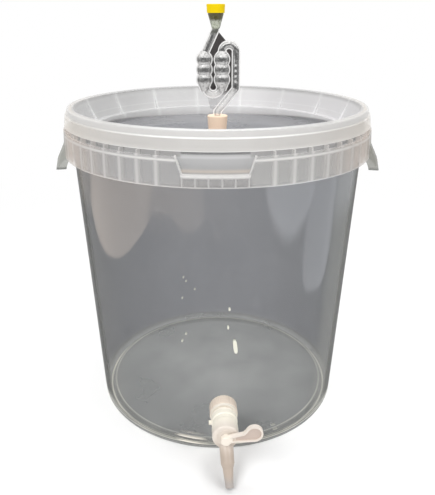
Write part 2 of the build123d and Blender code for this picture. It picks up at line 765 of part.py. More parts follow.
with BuildPart() as tap_valve:
    with BuildSketch(tap_section):
        with BuildLine():
            Polyline(
                (0, VALVE_FACE),
                (valve_radius - VALVE_WALL, VALVE_FACE),
                (valve_radius - VALVE_WALL, valve_back),
                (valve_radius, valve_back),
                (valve_radius, VALVE_SNAP_REACH - VALVE_SNAP_HALF),
                (valve_radius + VALVE_SNAP, VALVE_SNAP_REACH - VALVE_SNAP_HALF + VALVE_SNAP),
                (valve_radius + VALVE_SNAP, VALVE_SNAP_REACH + VALVE_SNAP_HALF - VALVE_SNAP),
                (valve_radius, VALVE_SNAP_REACH + VALVE_SNAP_HALF),
                (valve_radius, valve_front),
                (HUB_RADIUS, valve_front),
                (HUB_RADIUS, HUB_FRONT),
                (0, HUB_FRONT),
                close=True,
            )
        make_face()
    revolve(axis=tap_axis)
    fillet(tap_valve.edges().filter_by(GeomType.CIRCLE).sort_by(Axis.Y)[0], HUB_EDGE)
    with BuildSketch(tap_section):
        for reach in SEAL_REACH:
            with Locations((groove_radius + SEAL_SECTION, reach)):
                Rectangle(2 * SEAL_SECTION, 2 * SEAL_SECTION + SEAL_PLAY)
    revolve(axis=tap_axis, mode=Mode.SUBTRACT)
    # Side port: it faces sideways while the tap is shut and down once it is open
    with BuildSketch(Plane(origin=(0, -port_reach, TAP_HEIGHT), z_dir=tap_side)):
        Circle(VALVE_PORT_RADIUS)
    extrude(amount=VALVE_BORE_RADIUS, mode=Mode.SUBTRACT)
    with BuildSketch(tap_plane(LEVER_BACK)):
        draw_lever()
    extrude(amount=LEVER_FRONT - LEVER_BACK)
    # The lever's face is sunk inside a raised rim
    with BuildSketch(tap_plane(LEVER_FRONT)):
        draw_lever()
        offset(amount=-LEVER_RIM)
        Circle(HUB_RADIUS + LEVER_RIM, mode=Mode.SUBTRACT)
    extrude(amount=-LEVER_RECESS, mode=Mode.SUBTRACT)

tap_valve.part.label = "tap_valve"
export_step(tap_valve.part, "parts/tap_valve.step")

for name, reach in zip(("tap_valve_rear_seal", "tap_valve_front_seal"), SEAL_REACH):
    with BuildPart() as seal_ring:
        with BuildSketch(tap_section):
            with Locations((seal_radius, reach)):
                Circle(SEAL_SECTION)
        revolve(axis=tap_axis)
    seal_ring.part.label = name
    export_step(seal_ring.part, f"parts/{name}.step")


# Tap washers, pressed to the shape of the wall, and the nut inside the bucket

washer_bore = SHANK_RADIUS + WASHER_BORE_CLEARANCE
wall_low = TAP_HEIGHT - NUT_RADIUS
wall_high = TAP_HEIGHT + NUT_RADIUS

with BuildPart() as tap_outer_washer:
    with BuildSketch(tap_plane(COLLAR_BACK)):
        Circle(OUTER_WASHER_RADIUS)
        Circle(washer_bore, mode=Mode.SUBTRACT)
    extrude(amount=-(COLLAR_BACK - NUT_FRONT))
    with BuildSketch(upright):
        Polygon(
            (0, wall_low),
            (wall_radius(wall_low), wall_low),
            (wall_radius(wall_high), wall_high),
            (0, wall_high),
            align=None,
        )
    revolve(axis=Axis.Z, mode=Mode.SUBTRACT)

tap_outer_washer.part.label = "tap_outer_washer"
export_step(tap_outer_washer.part, "parts/tap_outer_washer.step")

with BuildPart() as tap_inner_washer:
    with BuildSketch(tap_plane(NUT_FRONT)):
        Circle(INNER_WASHER_RADIUS)
        Circle(washer_bore, mode=Mode.SUBTRACT)
    extrude(amount=COLLAR_BACK - NUT_FRONT)
    with BuildSketch(upright):
        Polygon(
            (0, wall_low),
            (wall_radius(wall_low) - WALL, wall_low),
            (wall_radius(wall_high) - WALL, wall_high),
            (0, wall_high),
            align=None,
        )
    revolve(axis=Axis.Z, mode=Mode.INTERSECT)

tap_inner_washer.part.label = "tap_inner_washer"
export_step(tap_inner_washer.part, "parts/tap_inner_washer.step")

with BuildPart() as tap_nut:
    with BuildSketch(tap_plane(NUT_FRONT)):
        Circle(NUT_RADIUS)
        Circle(SHANK_RADIUS + NUT_CLEARANCE, mode=Mode.SUBTRACT)
        with PolarLocations(NUT_RADIUS + NUT_FLUTE_RADIUS / 2, NUT_FLUTE_COUNT):
            Circle(NUT_FLUTE_RADIUS, mode=Mode.SUBTRACT)
    extrude(amount=-NUT)
    inner_end = tap_nut.faces().sort_by(Axis.Y)[-1]
    chamfer(inner_end.outer_wire().edges(), NUT_CHAMFER)

tap_nut.part.label = "tap_nut"
export_step(tap_nut.part, "parts/tap_nut.step")
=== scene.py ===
# %% [markdown]
# # A clear fermentation bucket with a tap
# The object is a home-brewing vessel: a clear tapered bucket with a milky press-on lid, a bubbler airlock
# in a rubber bung and a small lever tap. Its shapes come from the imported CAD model, which is loaded first
# and never changed. This lesson gives each piece its finish, adds the fine thread that the CAD leaves out,
# and sets up a studio.

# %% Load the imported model
import math

import bpy
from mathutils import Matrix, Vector


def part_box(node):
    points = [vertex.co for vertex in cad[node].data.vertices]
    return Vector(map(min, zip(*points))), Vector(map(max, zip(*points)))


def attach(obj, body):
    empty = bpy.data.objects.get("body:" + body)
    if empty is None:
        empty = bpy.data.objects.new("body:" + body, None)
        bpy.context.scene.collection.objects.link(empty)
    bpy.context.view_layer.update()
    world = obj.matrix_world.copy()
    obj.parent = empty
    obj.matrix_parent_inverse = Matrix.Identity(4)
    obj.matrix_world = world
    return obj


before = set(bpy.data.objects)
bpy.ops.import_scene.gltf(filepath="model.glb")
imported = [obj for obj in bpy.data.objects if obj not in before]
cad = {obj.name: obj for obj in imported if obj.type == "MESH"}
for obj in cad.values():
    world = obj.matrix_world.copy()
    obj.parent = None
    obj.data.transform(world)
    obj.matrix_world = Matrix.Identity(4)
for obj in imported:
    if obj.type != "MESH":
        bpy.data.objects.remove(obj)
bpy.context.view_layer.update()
print("CAD nodes:", ", ".join(sorted(cad)))

# %% [markdown]
# ## Heights that the finishes follow
# A moulding changes its look where its shape changes: at the skirt's lower edge, at the lid's shoulder, at
# the foot. Those places are taken from the model's own boxes where a box shows them, and are written in
# metres where it doesn't.

# %% Measure the model
bucket_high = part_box("bucket")[1]
lid_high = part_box("lid")[1]
nut_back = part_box("tap_nut")[1].y
shank_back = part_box("tap_body")[1].y
lever_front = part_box("tap_valve")[0].y

SKIRT_BOTTOM = 0.336
SKIRT_INNER_RADIUS = 0.1862
LEDGE_HEIGHT = 0.365
LID_EDGE = 0.3718
LID_SHOULDER = 0.3847
TAP_AXIS_HEIGHT = 0.05
print("bucket height:", round(bucket_high.z, 4), "lid top:", round(lid_high.z, 4))

# %% [markdown]
# ## Small helpers for node trees
# A shader is a tree of nodes. These helpers add a node, feed its sockets with numbers or with other nodes'
# outputs, and return the output, so that a material reads from top to bottom. A socket knows its tree, so
# the tree is not named again at every step.


# %% Node helpers
def is_socket(value):
    """Tells another node's socket from a plain value."""
    return isinstance(value, bpy.types.NodeSocket)


def feed(socket, value):
    """Sets a socket to a plain value, or links another socket to it."""
    if is_socket(value):
        socket.id_data.links.new(value, socket)
    else:
        socket.default_value = value


def fill(node, inputs):
    """Feeds a node's inputs, which are named with _ for a space."""
    for name, value in inputs.items():
        feed(node.inputs[name.replace("_", " ").title()], value)


def add_node(tree, kind, **inputs):
    """Adds a node to a tree and feeds its inputs."""
    made = tree.nodes.new(kind)
    fill(made, inputs)
    return made


def calculate(operation, *values):
    """One Math node in the tree of its first socket; returns its output."""
    tree = next(value.id_data for value in values if is_socket(value))
    made = tree.nodes.new("ShaderNodeMath")
    made.operation = operation
    for position, value in enumerate(values):
        feed(made.inputs[position], value)
    return made.outputs[0]


def chain(operation, values):
    """One Math operation along a row of values; returns the last output."""
    result = values[0]
    for value in values[1:]:
        result = calculate(operation, result, value)
    return result


def all_of(*masks):
    """The masks multiplied together."""
    return chain("MULTIPLY", masks)


def strongest(*masks):
    """The largest of the masks at each point."""
    return chain("MAXIMUM", masks)


def opposite(mask):
    """1 where the mask is 0, and 0 where it is 1."""
    return calculate("SUBTRACT", 1.0, mask)


def distance(across, along):
    """Length of a step across and along, by the rule of the right angle."""
    squares = [calculate("MULTIPLY", step, step) for step in (across, along)]
    return calculate("SQRT", calculate("ADD", *squares))


print("node helpers ready")

# %% [markdown]
# ## Layers of colour and of thickness
# A finish is built up as a painter would do it: a ground, and layers over it, each with a mask that says
# where it goes. A see-through plastic needs the same for its share, which is how much of the light it
# stops.


# %% Layer helpers
def blend_colours(share, first, second):
    """Mixes two colours and returns the result."""
    made = share.id_data.nodes.new("ShaderNodeMix")
    made.data_type = "RGBA"
    feed(made.inputs["Factor"], share)
    feed(made.inputs[6], first)
    feed(made.inputs[7], second)
    return made.outputs[2]


def blend_values(share, first, second):
    """Mixes two numbers and returns the result."""
    made = share.id_data.nodes.new("ShaderNodeMix")
    feed(made.inputs["Factor"], share)
    feed(made.inputs[2], first)
    feed(made.inputs[3], second)
    return made.outputs[0]


def paint_layers(ground, masks, layers):
    """Lays colours over a ground, one after the other, each where its mask is."""
    for name, colour in layers:
        ground = blend_colours(masks[name], ground, colour)
    return ground


def thicken(share, masks, layers):
    """Adds to a share, each amount where its mask is."""
    for name, amount in layers:
        share = calculate("MULTIPLY_ADD", masks[name], amount, share)
    return share


def open_material(name):
    """A new material with one Principled shader; returns the material, its tree and that shader."""
    material = bpy.data.materials.new(name)
    material.use_nodes = True
    tree = material.node_tree
    return material, tree, tree.nodes["Principled BSDF"]


def object_place(tree):
    """Where a point lies: x, y, height, and its distance from the bucket's axis."""
    point = add_node(tree, "ShaderNodeTexCoord").outputs["Object"]
    x, y, height = add_node(tree, "ShaderNodeSeparateXYZ", vector=point).outputs
    return {"x": x, "y": y, "height": height, "radius": distance(x, y)}


def split_normal(tree):
    """The three parts of the direction in which the surface looks."""
    normal = add_node(tree, "ShaderNodeNewGeometry").outputs["Normal"]
    return add_node(tree, "ShaderNodeSeparateXYZ", vector=normal).outputs


def add_bump(shader, height, strength, depth):
    """Gives a shader a fine relief."""
    bump = add_node(height.id_data, "ShaderNodeBump", strength=strength, distance=depth, height=height)
    feed(shader.inputs["Normal"], bump.outputs["Normal"])


print("layer helpers ready")

# %% [markdown]
# ## Shared effects: soft lines and soft steps
# Nearly every mask of this object is a band round a height or an angle, or everything beyond one. Each of
# the two is a node group, built once and placed wherever it is needed with its own values. Their edges are
# soft, because nothing on moulded plastic ends at a hard line.

# %% Groups: soft line and soft step
FLOAT = "NodeSocketFloat"


def open_group(name, inputs, outputs):
    """A new shader node group with number sockets; returns the tree, what it is given and what it gives."""
    tree = bpy.data.node_groups.new(name, "ShaderNodeTree")
    for title, value in inputs:
        socket = tree.interface.new_socket(title, in_out="INPUT", socket_type=FLOAT)
        socket.default_value = value
    for title in outputs:
        tree.interface.new_socket(title, in_out="OUTPUT", socket_type=FLOAT)
    return tree, tree.nodes.new("NodeGroupInput").outputs, tree.nodes.new("NodeGroupOutput").inputs


def place_group(tree, group, **values):
    """Places a shader node group and sets its named inputs."""
    made = tree.nodes.new("ShaderNodeGroup")
    made.node_tree = group
    fill(made, values)
    return made.outputs


def smooth_ramp(tree, **inputs):
    """A Map Range node with soft ends; returns its result."""
    ramp = add_node(tree, "ShaderNodeMapRange", **inputs)
    ramp.interpolation_type = "SMOOTHSTEP"
    return ramp.outputs["Result"]


def make_line_group():
    """1 at the centre, falling to 0 at half the line's width."""
    tree, given, result = open_group(
        "soft_line", [("Value", 0.0), ("Centre", 0.0), ("Half Width", 0.001)], ["Mask"]
    )
    away = calculate("ABSOLUTE", calculate("SUBTRACT", given["Value"], given["Centre"]))
    feed(result["Mask"], smooth_ramp(tree, value=away, from_max=given["Half Width"], to_min=1.0, to_max=0.0))
    return tree


def make_step_group():
    """0 below the edge and 1 above it."""
    tree, given, result = open_group(
        "soft_step", [("Value", 0.0), ("Edge", 0.0), ("Softness", 0.001)], ["Mask"]
    )
    start = calculate("SUBTRACT", given["Edge"], given["Softness"])
    end = calculate("ADD", given["Edge"], given["Softness"])
    feed(result["Mask"], smooth_ramp(tree, value=given["Value"], from_min=start, from_max=end))
    return tree


soft_line = make_line_group()
soft_step = make_step_group()


def line(value, centre, half):
    """A soft line of the given half width."""
    return place_group(value.id_data, soft_line, value=value, centre=centre, half_width=half)["Mask"]


def every(value, pitch, half):
    """Soft lines at every whole step of the pitch."""
    return line(calculate("PINGPONG", value, 0.5 * pitch), 0.0, half)


def above(value, edge, soft):
    """1 above the edge and 0 below it."""
    return place_group(value.id_data, soft_step, value=value, edge=edge, softness=soft)["Mask"]


def below(value, edge, soft):
    """1 below the edge and 0 above it."""
    return opposite(above(value, edge, soft))


print("groups:", soft_line.name, soft_step.name)

# %% [markdown]
# ## Shared effects: moulding marks and wear
# Moulded plastic is never quite even. It clouds slowly from place to place, shows where it flowed up the
# mould, and has a fine skin from the mould's own surface. Handling adds hairline scratches in patches.
# Noise gives all of these. It is stretched for what runs one way, and all of it reads Object coordinates,
# so that the marks stay on the piece when it moves.

# %% Groups: moulding marks and handling wear
CLOUD_SCALE = 14.0
FLOW_SCALE = 22.0
FLOW_STRETCH = (1.0, 1.0, 0.12)
SKIN_SCALE = 700.0
SCRATCH_SCALE = 60.0
SCRATCH_STRETCH = (1.0, 1.0, 14.0)
SCRATCH_HALF = 0.012
PATCH_SCALE = 9.0
PATCH_FROM = 0.6
NOISE_MIDDLE = 0.5


def scaled_place(tree, scale):
    """Object coordinates times a scale."""
    point = add_node(tree, "ShaderNodeTexCoord").outputs["Object"]
    scaled = add_node(tree, "ShaderNodeVectorMath")
    scaled.operation = "SCALE"
    fill(scaled, {"vector": point, "scale": scale})
    return scaled.outputs[0]


def noise_texture(coordinates, scale, detail, stretch=(1.0, 1.0, 1.0)):
    """Noise on stretched coordinates; returns its value."""
    tree = coordinates.id_data
    stretched = add_node(tree, "ShaderNodeMapping", vector=coordinates, scale=stretch).outputs["Vector"]
    noise = add_node(tree, "ShaderNodeTexNoise", vector=stretched, scale=scale, detail=detail)
    return noise.outputs["Fac"]


def make_marks_group():
    """Slow clouding, upright flow lines and the fine skin."""
    tree, given, result = open_group("moulding_marks", [("Scale", 1.0)], ["Cloud", "Flow", "Skin"])
    place = scaled_place(tree, given["Scale"])
    feed(result["Cloud"], noise_texture(place, CLOUD_SCALE, detail=3.0))
    feed(result["Flow"], noise_texture(place, FLOW_SCALE, detail=4.0, stretch=FLOW_STRETCH))
    feed(result["Skin"], noise_texture(place, SKIN_SCALE, detail=2.0))
    return tree


def make_wear_group():
    """Hairline scratches: thin lines of one noise, kept in the patches of another."""
    tree, given, result = open_group("handling_wear", [("Scale", 1.0)], ["Scratches"])
    place = scaled_place(tree, given["Scale"])
    across = noise_texture(place, SCRATCH_SCALE, detail=1.0, stretch=SCRATCH_STRETCH)
    fine = line(across, NOISE_MIDDLE, SCRATCH_HALF)
    patchy = above(noise_texture(place, PATCH_SCALE, detail=1.0), PATCH_FROM, soft=0.05)
    feed(result["Scratches"], all_of(fine, patchy))
    return tree


moulding_marks = make_marks_group()
handling_wear = make_wear_group()
print("groups:", moulding_marks.name, handling_wear.name)

# %% [markdown]
# ## The clear bucket
# The bucket is injection-moulded polypropylene, clear enough that the nut of the tap shows through the
# front wall. The far wall reads as a grey haze: every skin of the plastic scatters a little light, and the
# haze also stands in as a painted reflection of the dark surroundings that the real wall mirrors.
# A real glass shader would need many light bounces and surroundings to mirror. Alpha is simpler and survives
# the export: a wall seen from outside is nearly clear, and one seen from inside carries the haze. Which of
# the two it is follows from the surface's direction, because an outer wall's normal points away from the
# axis.

# %% Which side of the wall is seen
MOULD_TURN = -3.3
DEGREES = 180.0 / math.pi


def seen_from_outside(place):
    """1 where the wall is seen from outside, 0 where it is seen from inside."""
    tree = place["radius"].id_data
    away = tree.nodes.new("ShaderNodeCombineXYZ")
    for position, axis in enumerate(("x", "y")):
        feed(away.inputs[position], calculate("DIVIDE", place[axis], place["radius"]))
    outwards = tree.nodes.new("ShaderNodeVectorMath")
    outwards.operation = "DOT_PRODUCT"
    feed(outwards.inputs[0], tree.nodes.new("ShaderNodeNewGeometry").outputs["Normal"])
    feed(outwards.inputs[1], away.outputs[0])
    return above(outwards.outputs["Value"], 0.0, soft=0.1)


def let_lamps_through(share, kept):
    """Thins a see-through surface for lamp light, so that the inside of the bucket isn't left dark."""
    shadow = add_node(share.id_data, "ShaderNodeLightPath").outputs["Is Shadow Ray"]
    return calculate("MULTIPLY", share, blend_values(shadow, 1.0, kept))


def from_tap_axis(place):
    """Distance from the tap's level axis."""
    return distance(place["x"], calculate("SUBTRACT", place["height"], TAP_AXIS_HEIGHT))


def round_angle(place):
    """Angle round the bucket in degrees, 0 in the middle of the prising window."""
    angle = calculate("ARCTAN2", place["x"], calculate("MULTIPLY", place["y"], -1.0))
    return calculate("MULTIPLY_ADD", angle, DEGREES, -MOULD_TURN)


print("the mould is turned by", MOULD_TURN, "degrees")

# %% [markdown]
# ## Lines on the rim
# The skirt round the rim is a thin band with upright ribs behind it. Where a rib joins the band the plastic
# is thicker and carries light, so a painted highlight marks it as a pale upright line. The prising window
# has a raised frame whose edges get painted highlights for the same reason. Ribs and frame are in the model.
# Their pale lines lie inside the plastic, so they are painted in the material as highlights, from the angle
# round the bucket and from the height.

# %% Lines of the ribs and of the window
RIB_FIRST = 18.0
RIB_PITCH = 6.48
RIB_HALF = 1.3
SHORT_RIB_HALF = 0.5
GRIP_ANGLE = 90.0
GRIP_HALF = 15.0
WINDOW_RIB_PITCH = 4.0
WINDOW_RIB_REACH = 11.0
WINDOW_BOTTOM = 0.3485
WINDOW_HALF_BOTTOM = 0.0324
WINDOW_FLARE = 0.36
FRAME_HALF = 0.0021
SILL_DROP = 0.0008


def rib_lines(size, from_grip, height):
    """Painted highlights: pale upright lines where the ribs meet the skirt, also the short ones under the
    window.
    """
    past_first = calculate("SUBTRACT", size, RIB_FIRST)
    skirt = all_of(
        every(past_first, RIB_PITCH, RIB_HALF),
        above(past_first, -1.0, soft=0.2),
        above(from_grip, GRIP_HALF, soft=0.2),
    )
    short = all_of(
        every(calculate("SUBTRACT", size, 0.5 * WINDOW_RIB_PITCH), WINDOW_RIB_PITCH, SHORT_RIB_HALF),
        below(size, WINDOW_RIB_REACH, soft=0.2),
        below(height, WINDOW_BOTTOM, soft=0.0005),
    )
    return strongest(skirt, short)


def window_lines(size, height, radius):
    """Painted highlights on the frame of the prising window: two slanting sides and a sill."""
    along = calculate("MULTIPLY", calculate("DIVIDE", size, DEGREES), radius)
    rise = calculate("SUBTRACT", height, WINDOW_BOTTOM)
    half = calculate("MULTIPLY_ADD", rise, WINDOW_FLARE, WINDOW_HALF_BOTTOM)
    from_side = calculate("SUBTRACT", along, half)
    side = line(from_side, 0.0, FRAME_HALF)
    side = all_of(side, above(rise, -FRAME_HALF, soft=0.0004))
    sill = line(rise, -SILL_DROP, 1.5 * FRAME_HALF)
    sill = all_of(sill, below(from_side, FRAME_HALF, soft=0.0004))
    return strongest(side, sill)


print("rib pitch:", RIB_PITCH, "degrees")

# %% [markdown]
# ## Zones of the rim
# Besides its lines the rim has zones that differ in tone: the skirt, the wall behind it, the part of that
# wall that shows in the window, and the two grips. Towards the sides the skirt looks warmer and its lines
# fade. Painted shade darkens the wall in the slots above the ledge and a band under each grip, a painted
# shadow of the lid's edge lies on the wall in the window, and two pale bands of painted light cross it
# there.

# %% Masks for the rim
RIM_WALL_RADIUS = 0.1818
GRIP_RADIUS = 0.183
GRIP_SPAN = 14.0
GRIP_SHADE_TOP = 0.3195
LID_SHADE_BOTTOM = 0.3676
WINDOW_LIGHT_HEIGHT = 0.3648
WINDOW_GLOW_HEIGHT = 0.3506
LEDGE_LINE_DROP = 0.0018
HEM_STRENGTH = 0.8
RIB_STRENGTH = 0.6
SIDE_STRENGTH = 0.5


def rim_lines(size, from_grip, height, radius):
    """Every painted highlight line of the rim: ribs, window frame, the ledge's lit edge, and hem."""
    ribs = all_of(rib_lines(size, from_grip, height), RIB_STRENGTH)
    upright = strongest(ribs, window_lines(size, height, radius))
    upright = all_of(upright, above(radius, RIM_WALL_RADIUS, soft=0.0004))
    ledge = line(height, LEDGE_HEIGHT - LEDGE_LINE_DROP, half=0.0026)
    hem = line(height, SKIRT_BOTTOM, half=0.0018)
    level = all_of(
        strongest(ledge, all_of(hem, HEM_STRENGTH)),
        above(radius, SKIRT_INNER_RADIUS - 0.0004, soft=0.0003),
        above(from_grip, GRIP_SPAN, soft=0.3),
    )
    in_front = below(size, 42.0, soft=20.0)
    fade = calculate("MULTIPLY_ADD", in_front, 1.0 - SIDE_STRENGTH, SIDE_STRENGTH)
    return all_of(strongest(upright, level), fade)


def rim_masks(place):
    """The lines and zones of the rim by name."""
    height = place["height"]
    radius = place["radius"]
    size = calculate("ABSOLUTE", place["angle"])
    from_grip = calculate("ABSOLUTE", calculate("SUBTRACT", size, GRIP_ANGLE))
    grip = all_of(
        below(from_grip, GRIP_SPAN, soft=0.3),
        above(radius, GRIP_RADIUS, soft=0.0005),
        below(height, LEDGE_HEIGHT - 0.003, soft=0.003),
    )
    rim_wall = below(radius, RIM_WALL_RADIUS, soft=0.0004)
    in_window = below(size, WINDOW_RIB_REACH, soft=0.5)
    above_ledge = above(height, LEDGE_HEIGHT, soft=0.0006)
    window_wall = all_of(rim_wall, in_window)
    lid_shade = above(height, LID_SHADE_BOTTOM, soft=0.0006)
    # The shade under the grips, in the slots and under the lid is painted, as are the two light bands in the
    # window.
    return {
        "lines": rim_lines(size, from_grip, height, radius),
        "grip": grip,
        "grip_shadow": below(height, GRIP_SHADE_TOP, soft=0.0012),
        "milky": strongest(above(height, SKIRT_BOTTOM, soft=0.0006), grip),
        "rim_wall": rim_wall,
        "shaded": all_of(rim_wall, above_ledge, opposite(in_window)),
        "lid_shadow": all_of(window_wall, lid_shade, below(height, LID_EDGE, soft=0.0005)),
        "window_light": all_of(window_wall, line(height, WINDOW_LIGHT_HEIGHT, half=0.0026)),
        "window_glow": all_of(window_wall, line(height, WINDOW_GLOW_HEIGHT, half=0.0034)),
        "under_window": all_of(below(height, WINDOW_BOTTOM - 0.003, soft=0.0005), in_window),
        "warm": above(size, 45.0, soft=17.0),
    }


print("rim wall radius:", RIM_WALL_RADIUS)

# %% [markdown]
# ## Painted reflections and glints on the wall
# A faint painted reflection of a bright room lies on the upper wall in lobes, and a few painted glints of
# lamps sit on the front. Noise would put them anywhere, so each is a small shape with its own place: an
# angle round the bucket in degrees and a height in metres.

# %% Masks for painted reflections and glints
# The lobes, patches and left side are a painted reflection of a bright room.
# Each lobe: angle, half width, top, depth, power of its outline, slant, strength, softness of its edge.
REFLECTION_LOBES = (
    (-38.2, 16.7, 0.300, 0.064, 2.25, 83.0, 0.9, 0.005),
    (-9.2, 6.0, 0.300, 0.017, 2.4, 0.0, 0.62, 0.008),
    (26.5, 10.7, 0.320, 0.052, 1.8, 0.0, 0.95, 0.016),
    (40.3, 7.5, 0.245, 0.047, 4.5, 0.0, 0.74, 0.006),
)
# Each patch and glint: angle, height, half width, half height, strength.
REFLECTION_PATCHES = (
    (0.3, 0.2826, 1.1, 0.006, 0.35),
    (4.3, 0.2385, 1.1, 0.005, 0.3),
    (15.0, 0.2021, 1.2, 0.007, 0.4),
    (-12.3, 0.244, 1.0, 0.005, 0.3),
)
# Painted glints of lamps on the front of the wall.
GLINT_SPOTS = (
    (5.0, 0.1953, 0.4, 0.0019, 1.0),
    (4.6, 0.1724, 0.35, 0.0022, 1.0),
    (-11.5, 0.2328, 0.27, 0.0011, 0.7),
    (-10.6, 0.2284, 0.27, 0.0011, 0.7),
    (-7.5, 0.2195, 0.3, 0.0012, 0.7),
    (-12.2, 0.2074, 0.3, 0.0012, 0.7),
    (-11.3, 0.1624, 0.45, 0.0012, 0.8),
    (-12.9, 0.1526, 0.35, 0.0017, 0.8),
    (25.4, 0.0262, 1.3, 0.001, 0.6),
    (26.6, 0.0186, 1.3, 0.001, 0.6),
)
STREAK = (7.4, 0.147, 0.82, 0.0096, 1.0)
STREAK_SLANT = -40.0
OVAL_POWER = 3.0
BAND_HEIGHT = 0.302
BAND_STRENGTH = 0.65
FAINT_HEIGHT = 0.285
FAINT_STRENGTH = 0.38
LEFT_SIDE_STRENGTH = 0.08


def oval(angle, height, centre, middle, half_width, half_height, strength):
    """A full upright oval on the wall, with a soft edge."""
    powers = []
    for value, origin, half in ((angle, centre, half_width), (height, middle, half_height)):
        away = calculate("DIVIDE", calculate("SUBTRACT", value, origin), half)
        powers.append(calculate("POWER", calculate("ABSOLUTE", away), OVAL_POWER))
    inside = below(calculate("ADD", *powers), 1.0, soft=0.6)
    return all_of(inside, strength)


def reflection_lobe(angle, height, centre, half_width, top, depth, power, slant, strength, soft):
    """One lobe of the painted reflection: it reaches down deepest at its middle, which may lean."""
    middle = calculate("MULTIPLY_ADD", height, slant, centre - slant * top)
    across = calculate("DIVIDE", calculate("SUBTRACT", angle, middle), half_width)
    across = calculate("ABSOLUTE", across)
    fullness = opposite(calculate("POWER", across, power))
    bottom = calculate("MULTIPLY_ADD", strongest(fullness, 0.0), -depth, top)
    return all_of(below(across, 0.98, soft=0.2), above(height, bottom, soft), strength)


def paint_room_reflection(angle, height):
    """How strong the painted reflection is: a band below the skirt, hanging lobes, a few patches, the left
    side.
    """
    band = all_of(
        below(angle, -5.0, soft=3.0),
        above(angle, -50.0, soft=4.0),
        above(height, BAND_HEIGHT, soft=0.006),
    )
    faint = all_of(above(height, FAINT_HEIGHT, soft=0.03), FAINT_STRENGTH)
    layers = [blend_values(band, faint, BAND_STRENGTH)]
    layers += [reflection_lobe(angle, height, *lobe) for lobe in REFLECTION_LOBES]
    layers += [oval(angle, height, *patch) for patch in REFLECTION_PATCHES]
    left_side = all_of(below(angle, -42.0, soft=6.0), above(angle, -105.0, soft=30.0))
    return strongest(*layers, all_of(left_side, LEFT_SIDE_STRENGTH))


def paint_wall_glints(angle, height):
    """A few painted glints and one leaning painted streak of light on the front of the wall."""
    rise = calculate("SUBTRACT", height, STREAK[1])
    leaning = calculate("MULTIPLY_ADD", rise, -STREAK_SLANT, angle)
    wall_glints = [oval(angle, height, *glint_spot) for glint_spot in GLINT_SPOTS]
    return strongest(oval(leaning, height, *STREAK), *wall_glints)


print("reflection lobes:", len(REFLECTION_LOBES), "drops:", len(GLINT_SPOTS))

# %% [markdown]
# ## The foot and the wall's edges
# The floor is raised, and the ring where it meets the wall collects light. So do the small steps along the
# foot. Where the wall turns away from the viewer one looks through much more plastic: it grows denser
# there, and ends in a thin dark line. Layer Weight tells how far a surface is turned, as it would for
# glass.

# %% Masks for the foot and the edges
FLOOR_TOP = 0.0075
FLOOR_RING = 0.1512
INNER_RING = FLOOR_RING - 0.006
INNER_RING_STRENGTH = 0.5
FLOOR_CORNER = 0.0095
FOOT_LINES = (0.0025, 0.0095, 0.0125)
GLINT_FIRST = 0.0088
GLINT_PITCH = 0.0072
GLINT_SLOPE = 0.00012
GLINT_ANGLE = -11.0
GLINT_HEIGHT = 0.016
GLINT_STRENGTH = 2.2


def foot_lines(place, marks, outside):
    """Painted highlights: pale rings round the floor and lines along the foot, uneven as the moulding is."""
    height = place["height"]
    radius = place["radius"]
    inner = all_of(line(radius, INNER_RING, half=0.0018), INNER_RING_STRENGTH)
    ring = strongest(line(radius, FLOOR_RING, half=0.002), inner)
    lines = [all_of(ring, below(height, FLOOR_CORNER, soft=0.001))]
    for level in FOOT_LINES:
        on_foot = above(radius, FLOOR_RING, soft=0.001)
        lines.append(all_of(line(height, level, half=0.0011), outside, on_foot))
    uneven = calculate("MULTIPLY_ADD", marks["Cloud"], 1.1, 0.25)
    return all_of(strongest(*lines), uneven)


def foot_glints(place, marks, outside):
    """Short painted glints on the front of the foot."""
    rise = calculate("MULTIPLY_ADD", place["angle"], GLINT_SLOPE, place["height"])
    glints = all_of(
        every(calculate("SUBTRACT", rise, GLINT_FIRST), GLINT_PITCH, half=0.0017),
        line(place["angle"], GLINT_ANGLE, half=10.0),
        line(place["height"], GLINT_HEIGHT, half=0.013),
        above(marks["Flow"], 0.4, soft=0.1),
        outside,
        GLINT_STRENGTH,
    )
    return calculate("MINIMUM", glints, 1.0)


def turned_away(tree, blend):
    """How far the surface is turned away from the viewer."""
    return add_node(tree, "ShaderNodeLayerWeight", blend=blend).outputs["Facing"]


print("foot lines:", len(FOOT_LINES))

# %% [markdown]
# ## The bucket's share and colour
# Three zones meet in one moulding: the clear wall, the floor with its pale ring, and the milky rim. Each
# has its share, which is how much of the light it stops, and its tones. The painted reflection on the wall
# is warm at the left, where it is strongest, and cool at the right. Round the tap the inner face stays
# clear, so that the nut shows.

# %% Shares and colours of the bucket
CLEAR_SHARE = 0.015
CLEAR_LAYERS = (
    ("glancing", 0.55), ("room_reflection", 0.08), ("right_side", 0.125), ("edge_line", 0.5), ("wall_glints", 0.6),
)
HAZE_SHARE = 0.64
TAP_SEAT_SHARE = 0.1
FLOOR_SHARE = 0.58
BODY_LAYERS = (("foot", 0.34), ("glints", 0.8))
SKIRT_SHARE = 0.42
GRIP_SHARE = 0.62
RIM_WALL_SHARE = 0.5
MOST_SHARE = 0.95
HAZE_TONES = ((0.205, 0.211, 0.232, 1), (0.265, 0.272, 0.296, 1))
# Tones of the painted reflection: warm at the left, cool at the right.
REFLECTION_TONES = ((0.93, 0.81, 0.7, 1), (0.82, 0.85, 0.89, 1))
CLEAR_TONES = ((0.15, 0.158, 0.145, 1), (0.33, 0.335, 0.31, 1))
FLOOR_TONES = ((0.14, 0.146, 0.146, 1), (0.31, 0.317, 0.311, 1))
SKIRT_TONES = ((0.366, 0.363, 0.361, 1), (0.42, 0.418, 0.406, 1))
GRIP_TONES = ((0.395, 0.4, 0.371, 1), (0.325, 0.325, 0.296, 1))
